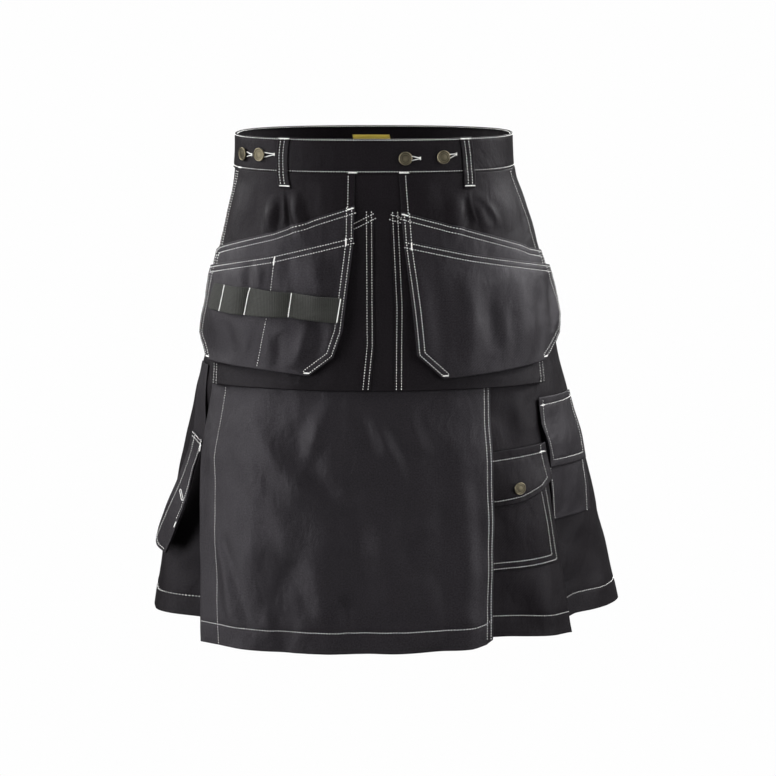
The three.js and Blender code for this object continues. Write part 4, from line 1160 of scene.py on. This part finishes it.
CARGO = straight_sides([(126, 370), (206, 367)], [(126, 501), (180, 501), (230, 499)])
cloth_piece("cargo_pocket_cloth", "cargo_pocket", CARGO, cargo_stand, UNDER_FOLDS,
            step=3.5, seed=51,
            rows=[[(204.6, 371.5), (227.5, 496.9), (180, 498.8), (126, 498.8)],
                  [(196.8, 372), (218.5, 490.4), (180, 492), (126, 492)]],
            by_hand=[(150, 430, 156, 495, 3, 10, -1.0), (190, 440, 196, 490, 3, 12, 0.9)])
CARGO_FLAP = dict(
    top=[(124, 364), (216, 360)],
    bottom=[(124, 412), (142, 427), (178, 422), (204, 413), (221, 402)],
    right=[(124, 364), (124, 412)], left=[(216, 360), (221, 402)])
CARGO_FLAP_ROW = [(208, 361), (212.7, 399.5), (201.2, 407), (176.6, 415.7), (143.5, 420.3),
                  (128.2, 407.4)]
cloth_piece("cargo_flap_cloth", "cargo_flap", CARGO_FLAP, cargo_flap_stand, UNDER_FOLDS,
            step=3.2, seed=52, rows=beside(CARGO_FLAP["top"], 10) + [CARGO_FLAP_ROW],
            tacks=[(206, 370.2, 214, 369.4, 1.2)],
            by_hand=[(140, 372, 200, 372, 2, 5, -0.8)])


# Phone pocket: a narrow pocket of twill on the outside of the hip under a long plain flap,
# each with a single row of stitches inside its edge.
def phone_stand(across, drop):
    return REST + 0.2 + 3 * smooth((drop - 330) / 40) * smooth((458 - drop) / 40)


def phone_flap_stand(across, drop):
    return phone_stand(across, drop) + PLY - 0.5 + 2 * smooth((drop - 310) / 60)


PHONE = dict(
    top=[(219.5, 330), (306, 330)], bottom=[(255, 458), (327, 457)],
    right=[(219.5, 330), (235, 398), (255, 458)], left=[(306, 330), (327, 457)])
cloth_piece("phone_pocket_cloth", "phone_pocket", PHONE, phone_stand, UNDER_FOLDS,
            step=3.5, seed=53,
            rows=beside(PHONE["right"], 2.4, side=-1) + beside(PHONE["left"], 9),
            by_hand=[(262, 395, 268, 452, 3, 8, -1.2), (282, 395, 292, 452, 3, 9, 1.0)],
            material=twill_lit_copy)
PHONE_FLAP = dict(
    top=[(211, 308), (300, 312)], bottom=[(226, 391), (314, 394)],
    right=[(211, 308), (212.5, 340), (219, 362), (226, 391)], left=[(300, 312), (314, 394)])
PHONE_FLAP_ROW = [(218.6, 311), (220.5, 339), (228, 360), (236.5, 383.3), (305, 386),
                  (292.2, 312)]
cloth_piece("phone_flap_cloth", "phone_flap", PHONE_FLAP, phone_flap_stand, UNDER_FOLDS,
            step=3.5, seed=54, rows=[[(212, 317), (300.5, 319)], PHONE_FLAP_ROW],
            tacks=[(215, 317.2, 222, 317.6, 1.3)],
            by_hand=[(236, 325, 244, 380, 4, 10, -1.0), (262, 322, 270, 384, 4, 12, 0.9)],
            material=twill_lit_copy)


# Folding-rule pocket: a long backing and a front of twill that hang from under the yoke at the
# wearer's right, tacked at the top and free below, where they lean out.
def rule_stand(across, drop):
    bridged = mix(0.35, 0.85, smooth((drop - 360) / 120))
    return REST + 10.5 * smooth((drop - 330) / 175) - bridged * fold_lift(UNDER_FOLDS, across, drop)


RULE_BACKING = dict(
    top=[(-272, 276), (-240, 276)], bottom=[(-361, 503), (-348, 509.5), (-331, 512)],
    right=[(-272, 276), (-288, 360), (-361, 503)],
    left=[(-240, 276), (-242, 340), (-249, 366), (-284, 404), (-313, 468), (-331, 512)])
cloth_piece("rule_pocket_backing_cloth", "rule_pocket_backing", RULE_BACKING, rule_stand,
            UNDER_FOLDS, step=3.5, seed=61,
            material=twill_lit_copy)
RULE_FRONT = dict(
    top=[(-287.5, 360), (-254, 367)], bottom=[(-360, 502), (-348, 508.5), (-331, 511)],
    right=[(-287.5, 360), (-360, 502)], left=[(-254, 367), (-285, 404), (-314, 468), (-331, 511)])
RULE_ROW = [(-281.6, 365), (-352, 500.5), (-346, 504.6), (-332, 507.4)]
RULE_TACKS = [  # below the mouth, an oval ring of four at its free edge, and one under the ring
    (-259, 371, -262, 381),
    (-312.5, 434, -308.5, 443.5, 0.8), (-309.8, 432.8, -305.8, 442.3, 0.8),
    (-312.3, 433.2, -310, 432.4, 0.9), (-308.3, 443.9, -306, 443, 0.9),
    (-316, 470, -319, 477, 1)]
cloth_piece("rule_pocket_front_cloth", "rule_pocket_front", RULE_FRONT,
            lambda a, d: rule_stand(a, d) + PLY + 0.3, UNDER_FOLDS, step=3.2, seed=62,
            rows=beside(RULE_FRONT["top"], 2.2, 7) + beside(RULE_FRONT["left"][:3], 2.4)
            + [RULE_ROW],
            tacks=RULE_TACKS,
            material=twill_lit_copy)

# Waistband: two plies of twill and their interlining, folded along the top and stitched along
# both edges. It starts at the wearer's left belt loop, goes once round by the wearer's right and
# passes under its own start, where the buttons hold it.
BAND_THICK = 2.4
BAND_START = 46  # turns, as are the next four
BAND_END = -68
BAND_ROWS_END = -313  # where the rows of stitches pass out of sight under the start
BAND_GOES_UNDER = 290
BAND_EASE = 45
BAND_OUTER = 0.6  # how far its inner face stands off the form in front
BAND_MID = -0.6  # round the back
BAND_INNER = -2.1  # under its own start


def band_stand(across, drop):
    travel = BAND_START - turn_at(across, drop)
    leaves_front = smooth((BAND_END - BAND_START + travel) / BAND_EASE)
    goes_under = smooth((travel - BAND_GOES_UNDER) / BAND_EASE)
    return mix(mix(BAND_OUTER, BAND_MID, leaves_front), BAND_INNER, goes_under)


def band_line(drop):
    """A row of stitches round the band, as far as it shows."""
    turns = np.linspace(BAND_START - 1, BAND_ROWS_END, 220)
    return [(float(across_at(turn, drop)), drop) for turn in turns]


BAND_ROWS = (0.9, 37.4)
band_rows = [band_line(drop) for drop in BAND_ROWS]
pressed_rows = [[(-1100, drop), (200, drop)] for drop in BAND_ROWS]
place_band = laid(band_stand, (), [stitch_relief(pressed_rows), waver(71, 24, 0.35)])
drops = spread(BAND_HEIGHT, 4) * BAND_HEIGHT
turns = np.linspace(BAND_END - 360, BAND_START, 240)
across = np.array([across_at(turns, drop) for drop in drops])
band = shell("waistband_cloth", across, np.broadcast_to(drops[:, None], across.shape),
             place_band, twill_shaded_copy, BAND_THICK)
SEAM_TACKS = [(-30, 38.4, -20, 38.4), (29, 38.6, 40, 38.6), (-184, 37.8, -176, 37.8)]
BUTTONS = [  # name, across, drop, where its buttonhole ends
    ("waist_button_left_outer", 80, 21, (96, 18)),
    ("waist_button_left_inner", 36, 22, (53, 22)),
    ("waist_button_right_inner", -139, 20, (-119, 19)),
    ("waist_button_right_outer", -169, 21, (-153, 21)),
]
HOLE_STARTS = 6  # beside its button's centre
HOLE_HALF = 2.8  # a keyhole, wide at the button and narrow at its tacked end
HOLE_NARROWS = 8
HOLE_TACK_HALF = 1.8
holes = []
for _, across_at_button, drop_at_button, (end_across, end_drop) in BUTTONS:
    start = across_at_button + HOLE_STARTS
    for half in (-HOLE_HALF, HOLE_HALF):
        holes.append((start, drop_at_button + half, end_across, end_drop + half / HOLE_NARROWS, 0.9))
    tack_at = end_across + 0.3
    holes.append((tack_at, end_drop - HOLE_TACK_HALF, tack_at, end_drop + HOLE_TACK_HALF, 1.2))
thread = sew("waistband_thread", place_band, BAND_THICK, band_rows, SEAM_TACKS + holes)
inner_thread = sew("waistband_inner_thread", place_band, BAND_THICK, band_rows, side=-1)
finish_cloth(band, "waistband")

# Belt loops: five strips of folded twill with two rows of stitches, bar-tacked over the
# waistband's top edge and below its seam.
LOOP_WIDTH = 14
LOOP_END = 57


def loop_on_band(across, drop):
    below = nail_stand(across, drop) + PLY + 0.4
    return mix(BAND_OUTER + BAND_THICK + GAP, below, smooth((drop - 34) / 8))


def loop_at_back(across, drop):
    return mix(BAND_MID + BAND_THICK + GAP, PLEAT_LIFT[0] + REST, smooth((drop - 34) / 6))


# Each loop's name, its place at a drop, its stand, how far its top, middle and end lie to one
# side of that place, where its two rows are, and its top.
BELT_LOOPS = [
    ("belt_loop_front_right", lambda d: -105.5, loop_on_band, (0, -3.0, 1.2), (-3.6, 1.2), -1.5),
    ("belt_loop_front_left", lambda d: 109.0, loop_on_band, (-2.0, 2.0, 2.6), (-2.4, 2.9), -1.5),
    ("belt_loop_back_right", lambda d: float(across_at(-138, d)), loop_at_back,
     (0, 0.8, 0), (-2.6, 2.6), 0.6),
    ("belt_loop_back_left", lambda d: float(across_at(138, d)), loop_at_back,
     (0, -0.8, 0), (-2.6, 2.6), 0.6),
    ("belt_loop_back_centre", lambda d: float(across_at(180, d)), loop_at_back,
     (0, 0.5, 0), (-2.6, 2.6), 0.6),
]
for name, middle_at, stand, shifts, row_places, loop_top in BELT_LOOPS:
    half = LOOP_WIDTH / 2

    def down(beside_middle, inside=0.0):
        line = []
        for d in np.linspace(loop_top + inside, LOOP_END - inside, 13):
            t = (d - loop_top) / (LOOP_END - loop_top)
            shift = (shifts[0] * (1 - t) * (1 - 2 * t) + 4 * shifts[1] * t * (1 - t)
                     + shifts[2] * t * (2 * t - 1))
            line.append((middle_at(d) + shift + beside_middle, d))
        return line
    right, left = down(-half), down(half)
    pattern = dict(top=[right[0], left[0]], bottom=[right[-1], left[-1]], right=right, left=left)
    rows = [down(place_of_row, 0.8) for place_of_row in row_places]
    at_top, at_end = middle_at(loop_top) + shifts[0], middle_at(LOOP_END) + shifts[2]
    tacks = [(at_top - 6.6, loop_top + 1.7, at_top + 6.6, loop_top + 1.7, 1.4),
             (at_end - 6.2, 54.6, at_end + 6.2, 54.8, 1.4)]
    cloth_piece(name + "_cloth", name, pattern, stand, step=2.0, rows=rows, tacks=tacks,
                seed=81, uneven=0.25)

# Buttons: pressed brass tack buttons, antiqued: a rolled rim rubbed bright round a sunk face
# with two rings, the outer one beaded. The snap on the cargo flap is a smaller one.
brass_antique, tree = new_material("antiqued_pressed_brass")
wear = add(tree, "ShaderNodeAttribute", attribute_name="wear", attribute_type="GEOMETRY")
grime = add(tree, "ShaderNodeTexNoise", {"Scale": 420.0, "Detail": 4.0, "Roughness": 0.65})
tone = add(tree, "ShaderNodeMath", {0: grime.outputs["Fac"], 1: 0.4, 2: wear.outputs["Fac"]},
           operation="MULTIPLY_ADD", use_clamp=True)
rough = add(tree, "ShaderNodeMapRange", {
    "Value": grime.outputs["Fac"], "To Min": 0.3, "To Max": 0.55})
surface(tree, {
    "Base Color": blend(tree, tone.outputs[0], "14120e", "7a7360"), "Metallic": 1.0,
    "Roughness": rough.outputs["Result"]})

BUTTON_DIAMETER = 16
SNAP_DIAMETER = 15
BUTTON_PROFILE = [  # radius as a share, height, wear
    (0, 0, 0), (0.6, 0, 0), (0.86, 0.1, 0.1), (0.96, 0.5, 0.2), (1, 1.2, 0.5), (0.99, 1.9, 0.6),
    (0.95, 2.4, 0.7), (0.90, 2.6, 0.6), (0.85, 2.4, 0.2), (0.81, 2.0, 0), (0.76, 2.0, 0.05),
    (0.68, 2.15, 0.2), (0.60, 2.15, 0.2), (0.53, 2.0, 0), (0.47, 2.05, 0), (0.40, 2.3, 0.3),
    (0.33, 2.25, 0.1), (0.2, 2.4, 0.25), (0, 2.45, 0.2)]
BUTTON_TURNS = 48
BEADED = (0.60, 0.68)  # the rings that a row of small beads crosses
BEAD_HEIGHT = 0.22


def button(name, across, drop, stand, diameter, folds=()):
    """One button, turned about the cloth's normal where it sits."""
    foot = cloth_point([across], [drop], stand, folds)[0]
    out = cloth_point([across], [drop], stand + 10, folds)[0] - foot
    out /= np.linalg.norm(out)
    side = np.cross(out, (0, 0, 1))
    side /= np.linalg.norm(side)
    up = np.cross(side, out)
    points, wear = [], []
    for radius, height, rubbed in BUTTON_PROFILE[1:-1]:
        for k in range(BUTTON_TURNS):
            angle = 2 * math.pi * k / BUTTON_TURNS
            reach = radius * diameter / 2
            bead = BEAD_HEIGHT * (1 if k % 2 else -1) if radius in BEADED else 0
            points.append(foot + out * (height + bead) + side * reach * math.cos(angle)
                          + up * reach * math.sin(angle))
            wear.append(rubbed + bead)
    rings = len(BUTTON_PROFILE) - 2
    points += [foot, foot + out * BUTTON_PROFILE[-1][1]]
    wear += [0, BUTTON_PROFILE[-1][2]]
    faces = []
    for k in range(BUTTON_TURNS):
        n = (k + 1) % BUTTON_TURNS
        faces.append((n, k, rings * BUTTON_TURNS))
        for ring in range(rings - 1):
            a, b = ring * BUTTON_TURNS, (ring + 1) * BUTTON_TURNS
            faces.append((a + k, a + n, b + n, b + k))
        last = (rings - 1) * BUTTON_TURNS
        faces.append((last + k, last + n, rings * BUTTON_TURNS + 1))
    piece = link(name + "_brass", points, faces, brass_antique)
    piece.data.attributes.new("wear", "FLOAT", "POINT").data.foreach_set("value", wear)
    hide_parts(name)
    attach(piece, "root")


for name, across_at_button, drop_at_button, _ in BUTTONS:
    button(name, across_at_button, drop_at_button, BAND_OUTER + BAND_THICK + 1, BUTTON_DIAMETER)
SNAP_PLACE = (171, 406)
snap_stand = float(cargo_flap_stand(*SNAP_PLACE)) + CLOTH + 1.6
button("cargo_snap", *SNAP_PLACE, snap_stand, SNAP_DIAMETER, UNDER_FOLDS)

# Label: a plain yellow woven tab inside the back of the waistband, a little off its middle. It
# is woven of bright weft and sewn flat to the band's inner ply at both ends.
label_woven, tree = new_material("plain_yellow_woven_label")
LABEL_WEFT = 0.9
cut = pattern_place(tree)
weft = add(tree, "ShaderNodeTexWave", {
    "Vector": cut, "Scale": WAVE / LABEL_WEFT, "Distortion": 0.5}, bands_direction="Y")
bump = add(tree, "ShaderNodeBump", {
    "Height": weft.outputs["Fac"], "Strength": 0.3, "Distance": 0.0002})
surface(tree, {
    "Base Color": blend(tree, weft.outputs["Fac"], "a8902c", "c9b34a"), "Roughness": 0.5,
    "Sheen Weight": 0.3, "Normal": bump.outputs["Normal"]})
LABEL_HALF = 23
LABEL_TOP = 12
LABEL_END = 37
LABEL_THICK = 0.6
LABEL_SHIFT = 4  # off the back's middle, to the wearer's right
middle = float(across_at(180, 20)) + LABEL_SHIFT
pattern = straight_sides([(middle - LABEL_HALF, LABEL_TOP), (middle + LABEL_HALF, LABEL_TOP)],
                         [(middle - LABEL_HALF, LABEL_END), (middle + LABEL_HALF, LABEL_END)])
place_label = laid(lambda a, d: BAND_MID - REST - LABEL_THICK + 0 * a, (), [waver(91, 12, 0.1)])
label = shell("inside_label_cloth", *pattern_grid(**pattern, step=2.5), place_label,
              label_woven, LABEL_THICK)
finish_cloth(label, "inside_label")
